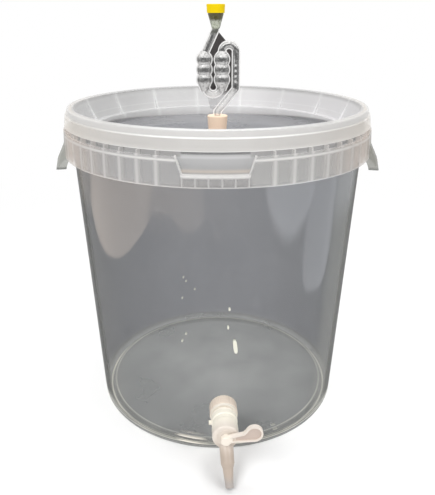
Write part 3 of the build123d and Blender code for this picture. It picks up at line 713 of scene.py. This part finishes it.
# The painted glints are near white.
WALL_PAINT = (("edge_line", (0.03, 0.032, 0.028, 1)), ("wall_glints", (0.97, 0.95, 0.82, 1)))
FLOOR_PAINT = (("middle", (0.34, 0.347, 0.338, 1)),)
BODY_PAINT = (("foot", (0.85, 0.83, 0.73, 1)), ("glints", (0.98, 0.92, 0.82, 1)))
# Painted shade under the grips.
GRIP_PAINT = (("grip_shadow", (0.15, 0.155, 0.14, 1)),)
LINE_TONE = (0.75, 0.735, 0.72, 1)
RIM_PAINT = (
    ("cloudy", (0.55, 0.526, 0.516, 1)),
    ("under_window", (0.34, 0.33, 0.324, 1)),
    ("warm", (0.53, 0.475, 0.432, 1)),
    ("rim_wall", (0.475, 0.475, 0.475, 1)),
    # Painted light: two pale bands on the wall in the window.
    ("window_light", (0.59, 0.595, 0.595, 1)),
    ("window_glow", (0.65, 0.59, 0.53, 1)),
    # Painted shadow of the lid's edge on the wall in the window, then painted shade in the slots.
    ("lid_shadow", (0.15, 0.15, 0.15, 1)),
    ("shaded", (0.4, 0.395, 0.39, 1)),
)


def bucket_share(marks, masks):
    """How much of the light each zone of the bucket stops."""
    clear = thicken(CLEAR_SHARE, masks, CLEAR_LAYERS)
    haze = thicken(HAZE_SHARE, marks, [("Cloud", 0.07)])
    haze = blend_values(masks["tap_seat"], haze, TAP_SEAT_SHARE)
    wall = blend_values(masks["outside"], haze, clear)
    floor = thicken(FLOOR_SHARE, marks, [("Cloud", 0.08)])
    body = blend_values(masks["above_floor"], floor, wall)
    body = thicken(body, masks, BODY_LAYERS)
    milk = blend_values(masks["grip"], SKIRT_SHARE, GRIP_SHARE)
    milk = thicken(milk, masks, [("lines", 0.25)])
    milk = blend_values(masks["rim_wall"], milk, RIM_WALL_SHARE)
    share = blend_values(masks["milky"], body, milk)
    return calculate("MINIMUM", share, MOST_SHARE)


def bucket_colour(marks, masks):
    haze = blend_colours(marks["Flow"], *HAZE_TONES)
    clear = blend_colours(masks["right_side"], *CLEAR_TONES)
    clear = blend_colours(masks["room_reflection"], clear, blend_colours(masks["right"], *REFLECTION_TONES))
    clear = paint_layers(clear, masks, WALL_PAINT)
    wall = blend_colours(masks["outside"], haze, clear)
    floor = paint_layers(blend_colours(marks["Cloud"], *FLOOR_TONES), masks, FLOOR_PAINT)
    body = blend_colours(masks["above_floor"], floor, wall)
    body = paint_layers(body, masks, BODY_PAINT)
    grip = paint_layers(blend_colours(masks["right"], *GRIP_TONES), masks, GRIP_PAINT)
    skirt = paint_layers(blend_colours(masks["right"], *SKIRT_TONES), masks, RIM_PAINT)
    milk = paint_layers(skirt, masks, [("grip", grip), ("lines", LINE_TONE)])
    return blend_colours(masks["milky"], body, milk)


print("rim layers:", len(RIM_PAINT))

# %% [markdown]
# ## The bucket's material
# The masks now come together in one Principled shader. The share feeds Alpha and the tones feed Base Color.
# The wall is hardly given any mirror shine, because the haze already stands for what the real wall mirrors.
# A very faint relief follows the flow of the plastic.

# %% Material: clear bucket
TAP_SEAT_RADIUS = 0.03
FLOOR_MIDDLE_RADIUS = 0.06
EDGE_BLEND = 0.35
GLANCING_POWER = 2.5
EDGE_LINE_FROM = 0.7
RIM_CLOUDING = 0.4
BUCKET_LAMP_SHARE = 0.03
POLYPROPYLENE_IOR = 1.49


def bucket_masks(tree, place, marks):
    """Every mask of the bucket by name."""
    angle = place["angle"]
    height = place["height"]
    turned = turned_away(tree, EDGE_BLEND)
    outside = seen_from_outside(place)
    by_tap = below(from_tap_axis(place), TAP_SEAT_RADIUS, soft=0.008)
    return {
        **rim_masks(place),
        "outside": outside,
        "glancing": calculate("POWER", turned, GLANCING_POWER),
        "edge_line": above(turned, EDGE_LINE_FROM, soft=0.08),
        "above_floor": above(height, FLOOR_TOP + 0.004, soft=0.003),
        "foot": foot_lines(place, marks, outside),
        "glints": foot_glints(place, marks, outside),
        # The painted reflection of a room and the painted glints on the wall.
        "room_reflection": paint_room_reflection(angle, height),
        "wall_glints": paint_wall_glints(angle, height),
        "right": above(place["x"], 0.0, soft=0.07),
        "right_side": all_of(above(angle, 47.5, soft=4.5), below(angle, 105.0, soft=30.0)),
        "middle": all_of(below(place["radius"], FLOOR_MIDDLE_RADIUS, soft=0.05), marks["Cloud"]),
        "tap_seat": all_of(by_tap, below(place["y"], 0.0, soft=0.02)),
        "cloudy": all_of(marks["Cloud"], RIM_CLOUDING),
    }


def make_bucket_material():
    material, tree, shader = open_material("clear_bucket")
    place = object_place(tree)
    place["angle"] = round_angle(place)
    marks = place_group(tree, moulding_marks, scale=1.0)
    masks = bucket_masks(tree, place, marks)
    share = bucket_share(marks, masks)
    feed(shader.inputs["Alpha"], let_lamps_through(share, BUCKET_LAMP_SHARE))
    feed(shader.inputs["Base Color"], bucket_colour(marks, masks))
    feed(shader.inputs["Roughness"], blend_values(masks["outside"], 0.5, 0.3))
    shader.inputs["IOR"].default_value = POLYPROPYLENE_IOR
    shader.inputs["Specular IOR Level"].default_value = 0.02
    add_bump(shader, marks["Flow"], strength=0.008, depth=0.0004)
    return material


finishes = {"bucket_plastic": make_bucket_material()}
print("material:", finishes["bucket_plastic"].name)

# %% [markdown]
# ## The milky lid
# The lid is moulded from a softer, milkier grade, so that it can flex over the bucket's rim. Its thin panel
# looks greyer than its folded edge, where light passes through several walls at once. The upright fins
# behind the edge show through it as pale bands, and the step round the lid's side catches a bright line.

# %% Masks for the lid
LID_CREST_RADIUS = 0.183
PANEL_RADIUS = 0.156
PANEL_HEIGHT = 0.3525
PANEL_RISE = 0.35
RECESS_RADIUS = 0.177
FIN_PITCH = 22.5
FIN_HALF = 1.7
FIN_STRENGTH = 0.6
LID_HEM_STRENGTH = 0.5
CREST_STRENGTH = 0.8
LID_SIDE_STRENGTH = 0.2


def lid_lines(size, place):
    """Painted highlights along the step, the hem and the front of the crest. They fade towards the sides."""
    height = place["height"]
    side = above(place["radius"], LID_CREST_RADIUS - 0.0025, soft=0.0008)
    step = all_of(side, line(height, LID_SHOULDER, half=0.0013))
    hem = all_of(line(height, LID_EDGE, half=0.001), LID_HEM_STRENGTH)
    front = below(place["y"], -0.06, soft=0.06)
    crest = all_of(above(height, lid_high.z - 0.0007, soft=0.0003), front, CREST_STRENGTH)
    in_front = below(size, 28.0, soft=24.0)
    fade = calculate("MULTIPLY_ADD", in_front, 1.0 - LID_SIDE_STRENGTH, LID_SIDE_STRENGTH)
    return all_of(strongest(step, hem, crest), fade)


def lid_masks(place):
    """Zones of the lid by name: folded edge, side above the step, recess wall, fins, and the pale lines."""
    height = place["height"]
    radius = place["radius"]
    size = calculate("ABSOLUTE", round_angle(place))
    bow = calculate("MULTIPLY", place["x"], place["x"])
    grey_to = calculate("MULTIPLY_ADD", bow, PANEL_RISE, PANEL_HEIGHT - 0.001)
    up_wall = above(calculate("SUBTRACT", height, grey_to), 0.0, soft=0.0018)
    edge = all_of(above(radius, PANEL_RADIUS, soft=0.0015), up_wall)
    side = above(radius, LID_CREST_RADIUS - 0.0025, soft=0.0008)
    recess = all_of(edge, below(radius, RECESS_RADIUS, soft=0.0008))
    fins = every(calculate("SUBTRACT", size, 0.5 * FIN_PITCH), FIN_PITCH, FIN_HALF)
    behind = above(place["y"], 0.1, soft=0.06)
    return {
        "edge": edge,
        "lines": lid_lines(size, place),
        "warm": above(size, 45.0, soft=25.0),
        "upper": all_of(side, above(height, LID_SHOULDER + 0.0004, soft=0.0004)),
        "recess": recess,
        "shaded": all_of(recess, above(height, LID_SHOULDER + 0.003, soft=0.002)),
        "fins": all_of(recess, fins, FIN_STRENGTH),
        "back": all_of(above(height, lid_high.z - 0.0022, soft=0.0006), behind),
    }


print("fin pitch:", FIN_PITCH, "degrees")

# %% [markdown]
# ## The lid's material
# The lid is made like the bucket: a share for Alpha, and layers of tone over a clouded ground. Hairline
# scratches make it a little denser.

# %% Material: milky lid
PANEL_SHARE = 0.36
EDGE_SHARE = 0.46
LID_LAMP_SHARE = 0.06
PANEL_TONES = ((0.21, 0.214, 0.23, 1), (0.295, 0.3, 0.318, 1))
MILK_TONES = ((0.59, 0.575, 0.555, 1), (0.66, 0.643, 0.62, 1))
RECESS_TONES = ((0.7, 0.7, 0.7, 1), (0.82, 0.81, 0.82, 1))
LID_PAINT = (("warm", (0.67, 0.63, 0.58, 1)), ("upper", (0.69, 0.68, 0.665, 1)))
RECESS_PAINT = (
    ("shaded", (0.6, 0.595, 0.59, 1)),
    ("fins", (0.9, 0.9, 0.9, 1)),
    ("back", (0.42, 0.42, 0.42, 1)),
    # The painted highlights of the step, hem and crest.
    ("lines", (0.9, 0.9, 0.89, 1)),
)


def make_lid_material():
    material, tree, shader = open_material("milky_lid")
    place = object_place(tree)
    marks = place_group(tree, moulding_marks, scale=1.4)
    wear = place_group(tree, handling_wear, scale=1.2)
    masks = lid_masks(place)
    panel_share = thicken(PANEL_SHARE, marks, [("Cloud", 0.16)])
    edge_share = thicken(EDGE_SHARE, masks, [("lines", 0.3)])
    share = blend_values(masks["edge"], panel_share, edge_share)
    share = thicken(share, wear, [("Scratches", 0.1)])
    share = calculate("MINIMUM", share, MOST_SHARE)
    feed(shader.inputs["Alpha"], let_lamps_through(share, LID_LAMP_SHARE))
    panel = blend_colours(marks["Cloud"], *PANEL_TONES)
    milk = paint_layers(blend_colours(marks["Flow"], *MILK_TONES), masks, LID_PAINT)
    recess = blend_colours(above(place["x"], 0.0, soft=0.1), *RECESS_TONES)
    milk = blend_colours(masks["recess"], milk, recess)
    milk = paint_layers(milk, masks, RECESS_PAINT)
    feed(shader.inputs["Base Color"], blend_colours(masks["edge"], panel, milk))
    shader.inputs["Roughness"].default_value = 0.3
    shader.inputs["IOR"].default_value = POLYPROPYLENE_IOR
    shader.inputs["Specular IOR Level"].default_value = 0.3
    add_bump(shader, marks["Skin"], strength=0.05, depth=0.0003)
    return material


finishes["lid_plastic"] = make_lid_material()
print("material:", finishes["lid_plastic"].name)

# %% [markdown]
# ## The airlock
# The airlock is moulded from clear rigid styrene in two halves that are glued along a flat seam. The glued
# seam shows white round every tube, the thin web between the tubes looks dark and smoky, and the tubes
# themselves are glassy: upright faces look dark, and tilted ones look pale, as if they caught a lamp. How
# far a point lies from the seam's plane tells the three apart. The thick, uneven walls break those
# reflections up, so a fine noise sets flecks into both, and the riser shows a row of bright spots, its
# picture of the bulbs beside it.

# %% Masks for the airlock
SEAM_HALF = 0.0007
WEB_HALF = 0.0004
WEB_CLEARS = 0.406
NECK_HEIGHT = 0.4765
CUP_HEIGHT = 0.4895
RISER_X = 0.0222
SPOT_FOOT = 0.4173
SPOT_PITCH = 0.0066
SPOT_COUNT = 4
FLECK_SCALE = 26.0
FLECK_STRENGTH = 0.65


def riser_glints(x, height):
    """Bright spots down the riser, which mirrors the bulbs beside it, and a short streak above them."""
    top = SPOT_FOOT + (SPOT_COUNT - 0.5) * SPOT_PITCH
    spots = all_of(
        every(calculate("SUBTRACT", height, SPOT_FOOT), SPOT_PITCH, half=0.0024),
        line(x, RISER_X, half=0.0026),
        above(height, SPOT_FOOT - 0.5 * SPOT_PITCH, soft=0.0003),
        below(height, top, soft=0.0003),
    )
    streak = all_of(line(x, RISER_X - 0.002, half=0.0009), line(height, top + 0.002, half=0.009))
    return strongest(spots, streak)


def airlock_masks(tree, place, marks):
    """Zones of the airlock by name: tube, glued seam, smoky upper part, tilted faces, cup, glints."""
    height = place["height"]
    broken = place_group(tree, moulding_marks, scale=FLECK_SCALE)["Cloud"]
    from_seam = calculate("ABSOLUTE", place["y"])
    normal = split_normal(tree)
    sideways = above(calculate("ABSOLUTE", normal["X"]), 0.55, soft=0.2)
    over_neck = above(height, NECK_HEIGHT + 0.003, soft=0.0015)
    return {
        "tube": above(from_seam, SEAM_HALF + 0.0001, soft=0.00008),
        "glued": above(from_seam, 0.5 * (SEAM_HALF + WEB_HALF), soft=0.00008),
        "smoky": above(height, WEB_CLEARS, soft=0.006),
        "tilted": above(calculate("ABSOLUTE", normal["Z"]), 0.27, soft=0.13),
        "sideways": sideways,
        "grey_sides": all_of(sideways, marks["Flow"]),
        "neck": line(height, NECK_HEIGHT, half=0.0045),
        "cone": all_of(over_neck, below(height, CUP_HEIGHT, soft=0.002)),
        "cup": above(height, CUP_HEIGHT, soft=0.002),
        "bright_flecks": all_of(above(broken, 0.59, soft=0.05), FLECK_STRENGTH),
        "dark_flecks": below(broken, 0.44, soft=0.05),
        "glints": riser_glints(place["x"], height),
    }


print("spots on the riser:", SPOT_COUNT)

# %% [markdown]
# ## The airlock's material
# The lower tube, in front of the pale lid, is nearly clear. Higher up the tubes stop more light and look
# darker. The cup stops the most, because the cap above it shades its walls.

# %% Material: clear airlock
AIRLOCK_LAMP_SHARE = 0.3
AIRLOCK_EDGE_BLEND = 0.4
STYRENE_IOR = 1.57
TUBE_SHARES = (0.17, 0.5)
WEB_SHARES = (0.1, 0.85)
CUP_SHARE = 0.85
GLUED_SHARE = 0.9
DARK_TONES = ((0.012, 0.012, 0.012, 1), (0.07, 0.07, 0.07, 1))
PALE_TONES = ((0.88, 0.87, 0.86, 1), (0.42, 0.42, 0.41, 1))
PLAIN_TONES = ((0.84, 0.83, 0.81, 1), (0.3, 0.3, 0.29, 1))
CONE_TONES = ((0.62, 0.65, 0.53, 1), (0.3, 0.32, 0.22, 1))
FLAT_TONES = ((0.03, 0.024, 0.024, 1), (0.95, 0.94, 0.93, 1))
DARK_PAINT = (
    ("grey_sides", (0.34, 0.34, 0.335, 1)),
    ("bright_flecks", (0.5, 0.5, 0.49, 1)),
    ("glints", (0.95, 0.95, 0.94, 1)),
)
TOP_PAINT = (("neck", (0.05, 0.055, 0.035, 1)), ("cup", (0.09, 0.08, 0.025, 1)))


def airlock_share(masks):
    """How much of the light each zone of the airlock stops."""
    edge_on = calculate("POWER", turned_away(masks["tube"].id_data, AIRLOCK_EDGE_BLEND), 2.0)
    tube = blend_values(masks["smoky"], *TUBE_SHARES)
    tube = calculate("MULTIPLY_ADD", edge_on, 0.3, tube)
    tube = blend_values(masks["cup"], tube, CUP_SHARE)
    web = blend_values(masks["smoky"], *WEB_SHARES)
    flat = blend_values(masks["glued"], web, GLUED_SHARE)
    return blend_values(masks["tube"], flat, tube)


def airlock_colour(marks, masks):
    dark = paint_layers(blend_colours(marks["Cloud"], *DARK_TONES), masks, DARK_PAINT)
    pale = blend_colours(masks["dark_flecks"], *PALE_TONES)
    glass = blend_colours(masks["tilted"], dark, pale)
    plain = blend_colours(masks["sideways"], *PLAIN_TONES)
    glass = blend_colours(masks["smoky"], plain, glass)
    cone = blend_colours(masks["dark_flecks"], *CONE_TONES)
    glass = blend_colours(masks["cone"], glass, cone)
    glass = paint_layers(glass, masks, TOP_PAINT)
    flat = blend_colours(masks["glued"], *FLAT_TONES)
    return blend_colours(masks["tube"], flat, glass)


def make_airlock_material():
    material, tree, shader = open_material("clear_airlock")
    marks = place_group(tree, moulding_marks, scale=5.0)
    masks = airlock_masks(tree, object_place(tree), marks)
    share = airlock_share(masks)
    feed(shader.inputs["Alpha"], let_lamps_through(share, AIRLOCK_LAMP_SHARE))
    feed(shader.inputs["Base Color"], airlock_colour(marks, masks))
    shader.inputs["Roughness"].default_value = 0.08
    shader.inputs["IOR"].default_value = STYRENE_IOR
    add_bump(shader, marks["Cloud"], strength=0.1, depth=0.0002)
    return material


finishes["airlock_plastic"] = make_airlock_material()
print("material:", finishes["airlock_plastic"].name)

# %% [markdown]
# ## Solid plastics and rubbers
# The cap, the tap, the nut and the rubber pieces are opaque. They share one recipe: two tones mixed by the
# slow clouding of the moulding, a fine skin as bump, and a few scratches that make the surface rougher.

# %% Materials: opaque pieces
# Each recipe: name, light tone, dark tone, roughness, strength of the skin, scale of the marks.
OPAQUE_RECIPES = {
    "cap_plastic": ("yellow_cap", (0.88, 0.65, 0.002, 1), (0.83, 0.59, 0.001, 1), 0.5, 0.05, 4.0),
    "bung_rubber": ("cream_bung", (0.95, 0.74, 0.57, 1), (0.92, 0.68, 0.5, 1), 0.55, 0.12, 3.0),
    "tap_plastic": ("white_tap", (0.89, 0.85, 0.74, 1), (0.83, 0.78, 0.67, 1), 0.32, 0.04, 3.0),
    "lever_plastic": ("white_lever", (0.88, 0.82, 0.72, 1), (0.82, 0.75, 0.66, 1), 0.3, 0.04, 3.0),
    "nut_plastic": ("cream_nut", (0.93, 0.81, 0.69, 1), (0.91, 0.78, 0.65, 1), 0.4, 0.06, 3.0),
    "washer_rubber": ("cream_washer", (0.96, 0.9, 0.8, 1), (0.92, 0.85, 0.75, 1), 0.65, 0.2, 4.0),
    "seal_rubber": ("black_seal", (0.03, 0.03, 0.03, 1), (0.015, 0.015, 0.015, 1), 0.5, 0.2, 5.0),
}
SCRATCH_ROUGHNESS = 0.2
SKIN_DEPTH = 0.0003
CAP_SHINE = 0.12


def make_opaque_material(name, light, dark, roughness, skin, scale):
    material, tree, shader = open_material(name)
    marks = place_group(tree, moulding_marks, scale=scale)
    wear = place_group(tree, handling_wear, scale=scale)
    feed(shader.inputs["Base Color"], blend_colours(marks["Cloud"], dark, light))
    feed(shader.inputs["Roughness"], thicken(roughness, wear, [("Scratches", SCRATCH_ROUGHNESS)]))
    add_bump(shader, marks["Skin"], skin, SKIN_DEPTH)
    return material


for slot, recipe in OPAQUE_RECIPES.items():
    finishes[slot] = make_opaque_material(*recipe)
cap_shader = finishes["cap_plastic"].node_tree.nodes["Principled BSDF"]
cap_shader.inputs["Specular IOR Level"].default_value = CAP_SHINE
print("opaque materials:", len(OPAQUE_RECIPES))

# %% [markdown]
# ## Painted shade on the tap
# Light falls on the tap from above, and its forward and lower faces get painted shade. Its housing is a
# little darker towards the front, and its spout darker and browner downwards, most of all at the tip, partly
# a stain and partly painted shade. Its lever is duller than its hub, which keeps a painted highlight, and is
# darkest in the dish, as painted shade. Each is one more layer over the colour that the material already
# has.

# %% Painted shade on the tap and its lever
# Tones of the painted shade on the housing, spout, tip, lever, sunken faces and dish.
SPOUT_TONE = (0.46, 0.38, 0.315, 1)
TIP_TONE = (0.4, 0.36, 0.335, 1)
HOUSING_TONE = (0.72, 0.65, 0.58, 1)
LEVER_TONE = (0.76, 0.69, 0.62, 1)
SUNKEN_TONE = (0.68, 0.61, 0.54, 1)
DISH_TONE = (0.55, 0.45, 0.39, 1)
HUB_RADIUS = 0.0075
DISH_RADIUS = 0.0112
DISH_FRONT = lever_front + 0.0014


def paint_material(material, mask, colour):
    """Mixes a colour into a material's own colour where the mask is."""
    tree = material.node_tree
    base = tree.nodes["Principled BSDF"].inputs["Base Color"]
    clean = base.links[0].from_socket
    feed(base, blend_colours(mask, clean, colour))


def shade_along(material, axis, clean_from, shaded_from, colour):
    """Paints shade into a material along an axis, darker towards its lower values."""
    tree = material.node_tree
    middle = 0.5 * (clean_from + shaded_from)
    shading = below(object_place(tree)[axis], middle, soft=clean_from - middle)
    paint_material(material, shading, colour)


def shade_recess(material, reach, colour):
    """Paints shade on the sunken faces of the lever: they look forwards but lie behind its front plane."""
    tree = material.node_tree
    place = object_place(tree)
    forwards = below(split_normal(tree)["Y"], -0.8, soft=0.1)
    behind_front = above(place["y"], DISH_FRONT, soft=0.0003)
    off_axis = above(from_tap_axis(place), reach, soft=0.0004)
    paint_material(material, all_of(forwards, behind_front, off_axis), colour)


# Painted shade: the housing darker towards the front, the spout darker downwards and darkest at its tip.
shade_along(finishes["tap_plastic"], "y", -0.179, -0.198, HOUSING_TONE)
shade_along(finishes["tap_plastic"], "height", 0.05, 0.03, SPOUT_TONE)
shade_along(finishes["tap_plastic"], "height", 0.017, 0.009, TIP_TONE)
# The lever is painted duller away from the hub, so the hub keeps a painted highlight.
lever_place = object_place(finishes["lever_plastic"].node_tree)
off_hub = above(from_tap_axis(lever_place), HUB_RADIUS, soft=0.0025)
paint_material(finishes["lever_plastic"], off_hub, LEVER_TONE)
shade_recess(finishes["lever_plastic"], 0.0, SUNKEN_TONE)
shade_recess(finishes["lever_plastic"], DISH_RADIUS, DISH_TONE)
print("shade_painted: tap and lever")

# %% [markdown]
# ## The thread on the tap's shank
# The nut inside the bucket runs on a moulded thread, and the last turns of it stand out behind the nut. A
# thread is a ridge that follows a spiral, so Geometry Nodes draws the spiral and sweeps a small round
# section along it. The inputs have names, so another thread can be made by changing numbers only.

# %% Geometry nodes for a thread
THREAD_INPUTS = (
    ("Turns", FLOAT),
    ("Shank Radius", FLOAT),
    ("Pitch", FLOAT),
    ("Ridge Radius", FLOAT),
    ("Place", "NodeSocketVector"),
    ("Finish", "NodeSocketMaterial"),
)
STEPS_PER_TURN = 48
SECTION_CORNERS = 8
ALONG_Y = (math.radians(-90.0), 0.0, 0.0)


def make_thread_nodes():
    """Node tree: a spiral along Y with a round ridge swept along it."""
    tree = bpy.data.node_groups.new("shank_thread", "GeometryNodeTree")
    for title, kind in THREAD_INPUTS:
        tree.interface.new_socket(title, in_out="INPUT", socket_type=kind)
    tree.interface.new_socket("Geometry", in_out="OUTPUT", socket_type="NodeSocketGeometry")
    given = tree.nodes.new("NodeGroupInput").outputs
    steps = [
        add_node(
            tree,
            "GeometryNodeCurveSpiral",
            resolution=STEPS_PER_TURN,
            rotations=given["Turns"],
            start_radius=given["Shank Radius"],
            end_radius=given["Shank Radius"],
            height=calculate("MULTIPLY", given["Turns"], given["Pitch"]),
        ),
        add_node(tree, "GeometryNodeCurveToMesh", fill_caps=True),
        add_node(tree, "GeometryNodeTransform", rotation=ALONG_Y, translation=given["Place"]),
        add_node(tree, "GeometryNodeRealizeInstances"),
        add_node(tree, "GeometryNodeSetMaterial", material=given["Finish"]),
        add_node(tree, "NodeGroupOutput"),
    ]
    for step, after in zip(steps, steps[1:]):
        feed(after.inputs[0], step.outputs[0])
    section = add_node(
        tree, "GeometryNodeCurvePrimitiveCircle", resolution=SECTION_CORNERS, radius=given["Ridge Radius"]
    )
    feed(steps[1].inputs["Profile Curve"], section.outputs[0])
    return tree


thread_nodes = make_thread_nodes()
print("thread inputs:", ", ".join(title for title, kind in THREAD_INPUTS))

# %% [markdown]
# ## From nodes to a mesh
# The node tree needs an object to run on. Its inputs are set by each socket's identifier, and the result is
# copied into a plain mesh, because the part should not depend on a modifier. The thread belongs to the
# bucket's body: the tap is fixed to the wall.

# %% Sweep the thread and keep it as a mesh
SHANK_RADIUS = 0.012


def mesh_from_nodes(name, tree, values):
    """Evaluates a Geometry Nodes tree with the given inputs and returns a plain mesh object."""
    carrier = bpy.data.objects.new(name + "_carrier", bpy.data.meshes.new(name + "_carrier"))
    bpy.context.scene.collection.objects.link(carrier)
    modifier = carrier.modifiers.new("nodes", "NODES")
    modifier.node_group = tree
    for socket in tree.interface.items_tree:
        if socket.in_out == "INPUT":
            modifier[socket.identifier] = values[socket.name]
    ready = carrier.evaluated_get(bpy.context.evaluated_depsgraph_get())
    mesh = bpy.data.meshes.new_from_object(ready)
    mesh.name = name
    bpy.data.objects.remove(carrier)
    piece = bpy.data.objects.new(name, mesh)
    bpy.context.scene.collection.objects.link(piece)
    return piece


thread = mesh_from_nodes("tap_thread", thread_nodes, {
    "Turns": 1.6,
    "Shank Radius": SHANK_RADIUS,
    "Pitch": 0.0012,
    "Ridge Radius": 0.00042,
    "Place": (0.0, nut_back + 0.0005, TAP_AXIS_HEIGHT),
    "Finish": finishes["tap_plastic"],
})
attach(thread, "bucket")
print("thread faces:", len(thread.data.polygons), "from", round(nut_back, 4), "to", round(shank_back, 4))

# %% [markdown]
# ## Give every CAD node its finish
# Each node of the record names a material slot. The slot tells a later scene which pieces are repainted
# together.

# %% Put the materials on
NODE_SLOTS = {
    "bucket": "bucket_plastic",
    "lid": "lid_plastic",
    "airlock_bung": "bung_rubber",
    "airlock_front_half": "airlock_plastic",
    "airlock_back_half": "airlock_plastic",
    "airlock_cap": "cap_plastic",
    "tap_body": "tap_plastic",
    "tap_valve": "lever_plastic",
    "tap_valve_front_seal": "seal_rubber",
    "tap_valve_rear_seal": "seal_rubber",
    "tap_outer_washer": "washer_rubber",
    "tap_inner_washer": "washer_rubber",
    "tap_nut": "nut_plastic",
}
for name, slot in NODE_SLOTS.items():
    cad[name].data.materials.clear()
    cad[name].data.materials.append(finishes[slot])
print("finished nodes:", len(NODE_SLOTS))

# %% [markdown]
# ## The studio
# A pale floor runs out into a white backdrop. Close to the bucket the floor is an ordinary matt surface and
# keeps the object's soft shadow; further out it fades into plain white, so no edge of the floor shows. Only
# what is seen turns white, straight or mirrored. The floor throws no more light on the bucket for it.

# %% Floor and backdrop
FLOOR_SIZE = 8.0
FADE_RADIUS = 0.75
FADE_WIDTH = 0.4
FLOOR_TONE = (0.86, 0.86, 0.86, 1)
WHITE = (1, 1, 1, 1)


def seen_as_background(tree):
    """1 for rays that show the background: straight to the camera, mirrored or through glass."""
    path = add_node(tree, "ShaderNodeLightPath").outputs
    return strongest(path["Is Camera Ray"], path["Is Glossy Ray"], path["Is Transmission Ray"])


def make_floor():
    half = 0.5 * FLOOR_SIZE
    corners = [(-half, -half, 0), (half, -half, 0), (half, half, 0), (-half, half, 0)]
    mesh = bpy.data.meshes.new("studio_floor")
    mesh.from_pydata(corners, [], [(0, 1, 2, 3)])
    floor = bpy.data.objects.new("studio_floor", mesh)
    bpy.context.scene.collection.objects.link(floor)
    material, tree, shader = open_material("studio_floor")
    away = above(object_place(tree)["radius"], FADE_RADIUS, FADE_WIDTH)
    shader.inputs["Base Color"].default_value = FLOOR_TONE
    shader.inputs["Roughness"].default_value = 0.9
    shader.inputs["Specular IOR Level"].default_value = 0.0
    white = add_node(tree, "ShaderNodeEmission", color=WHITE)
    mix = add_node(tree, "ShaderNodeMixShader")
    feed(mix.inputs[0], all_of(away, seen_as_background(tree)))
    feed(mix.inputs[1], shader.outputs[0])
    feed(mix.inputs[2], white.outputs[0])
    feed(tree.nodes["Material Output"].inputs["Surface"], mix.outputs[0])
    mesh.materials.append(material)
    return floor


floor = make_floor()
print("floor:", floor.name, FLOOR_SIZE, "m across")

# %% [markdown]
# ## The world
# The world is white where it is seen, and half as bright where it lights the object. So the background
# stays plain white and the pale pieces keep their tone.

# %% World
FILL_LEVEL = 0.5
world = bpy.data.worlds.new("studio")
bpy.context.scene.world = world
world.use_nodes = True
sky = world.node_tree
back = sky.nodes["Background"]
back.inputs["Color"].default_value = WHITE
feed(back.inputs["Strength"], blend_values(seen_as_background(sky), FILL_LEVEL, 1.0))
print("world fill:", FILL_LEVEL)

# %% [markdown]
# ## Lamps
# Two large soft lamps stand in front, the stronger one at the left, and one above the back gives the lid
# its bright edge. Large lamps make highlights and shadows with soft edges.

# %% Soft lamps
AIM = (0.0, 0.0, 0.25)


def add_lamp(name, place, width, power):
    """A square lamp that looks at the bucket's middle."""
    lamp = bpy.data.lights.new(name, "AREA")
    lamp.shape = "SQUARE"
    lamp.size = width
    lamp.energy = power
    holder = bpy.data.objects.new(name, lamp)
    holder.location = place
    holder.rotation_euler = (Vector(AIM) - Vector(place)).to_track_quat("-Z", "Y").to_euler()
    bpy.context.scene.collection.objects.link(holder)


add_lamp("key_lamp", (-1.3, -1.7, 2.2), width=1.4, power=46.0)
add_lamp("fill_lamp", (1.7, -1.3, 1.6), width=1.4, power=20.0)
add_lamp("top_lamp", (0.2, 0.9, 2.4), width=1.2, power=26.0)
print("lamps: key, fill, top")

# %% [markdown]
# ## The camera
# The camera stands where the photograph was taken from: a little above the lid, close to the bucket, looking
# down at it. The picture's centre of perspective lies above its middle, so the lens is shifted. A ray may
# pass many clear walls on its way, so it is given enough steps for all of them.

# %% Camera
CAMERA_PLACE = (-0.0336, -0.7135, 0.4948)
CAMERA_HEADING = -2.7
CAMERA_PITCH = 18.405
LENS = 41.45
SENSOR_WIDTH = 36.0
SHIFT_UP = -0.0857
CLEAR_STEPS = 32

camera = bpy.data.objects.new("camera", bpy.data.cameras.new("camera"))
camera.data.lens = LENS
camera.data.sensor_width = SENSOR_WIDTH
camera.data.shift_y = SHIFT_UP
camera.data.clip_start = 0.01
camera.location = CAMERA_PLACE
camera.rotation_euler = (math.radians(90.0 - CAMERA_PITCH), 0.0, math.radians(CAMERA_HEADING))
scene = bpy.context.scene
scene.collection.objects.link(camera)
scene.camera = camera
scene.view_settings.view_transform = "Standard"
scene.cycles.transparent_max_bounces = CLEAR_STEPS
print("camera at", CAMERA_PLACE)
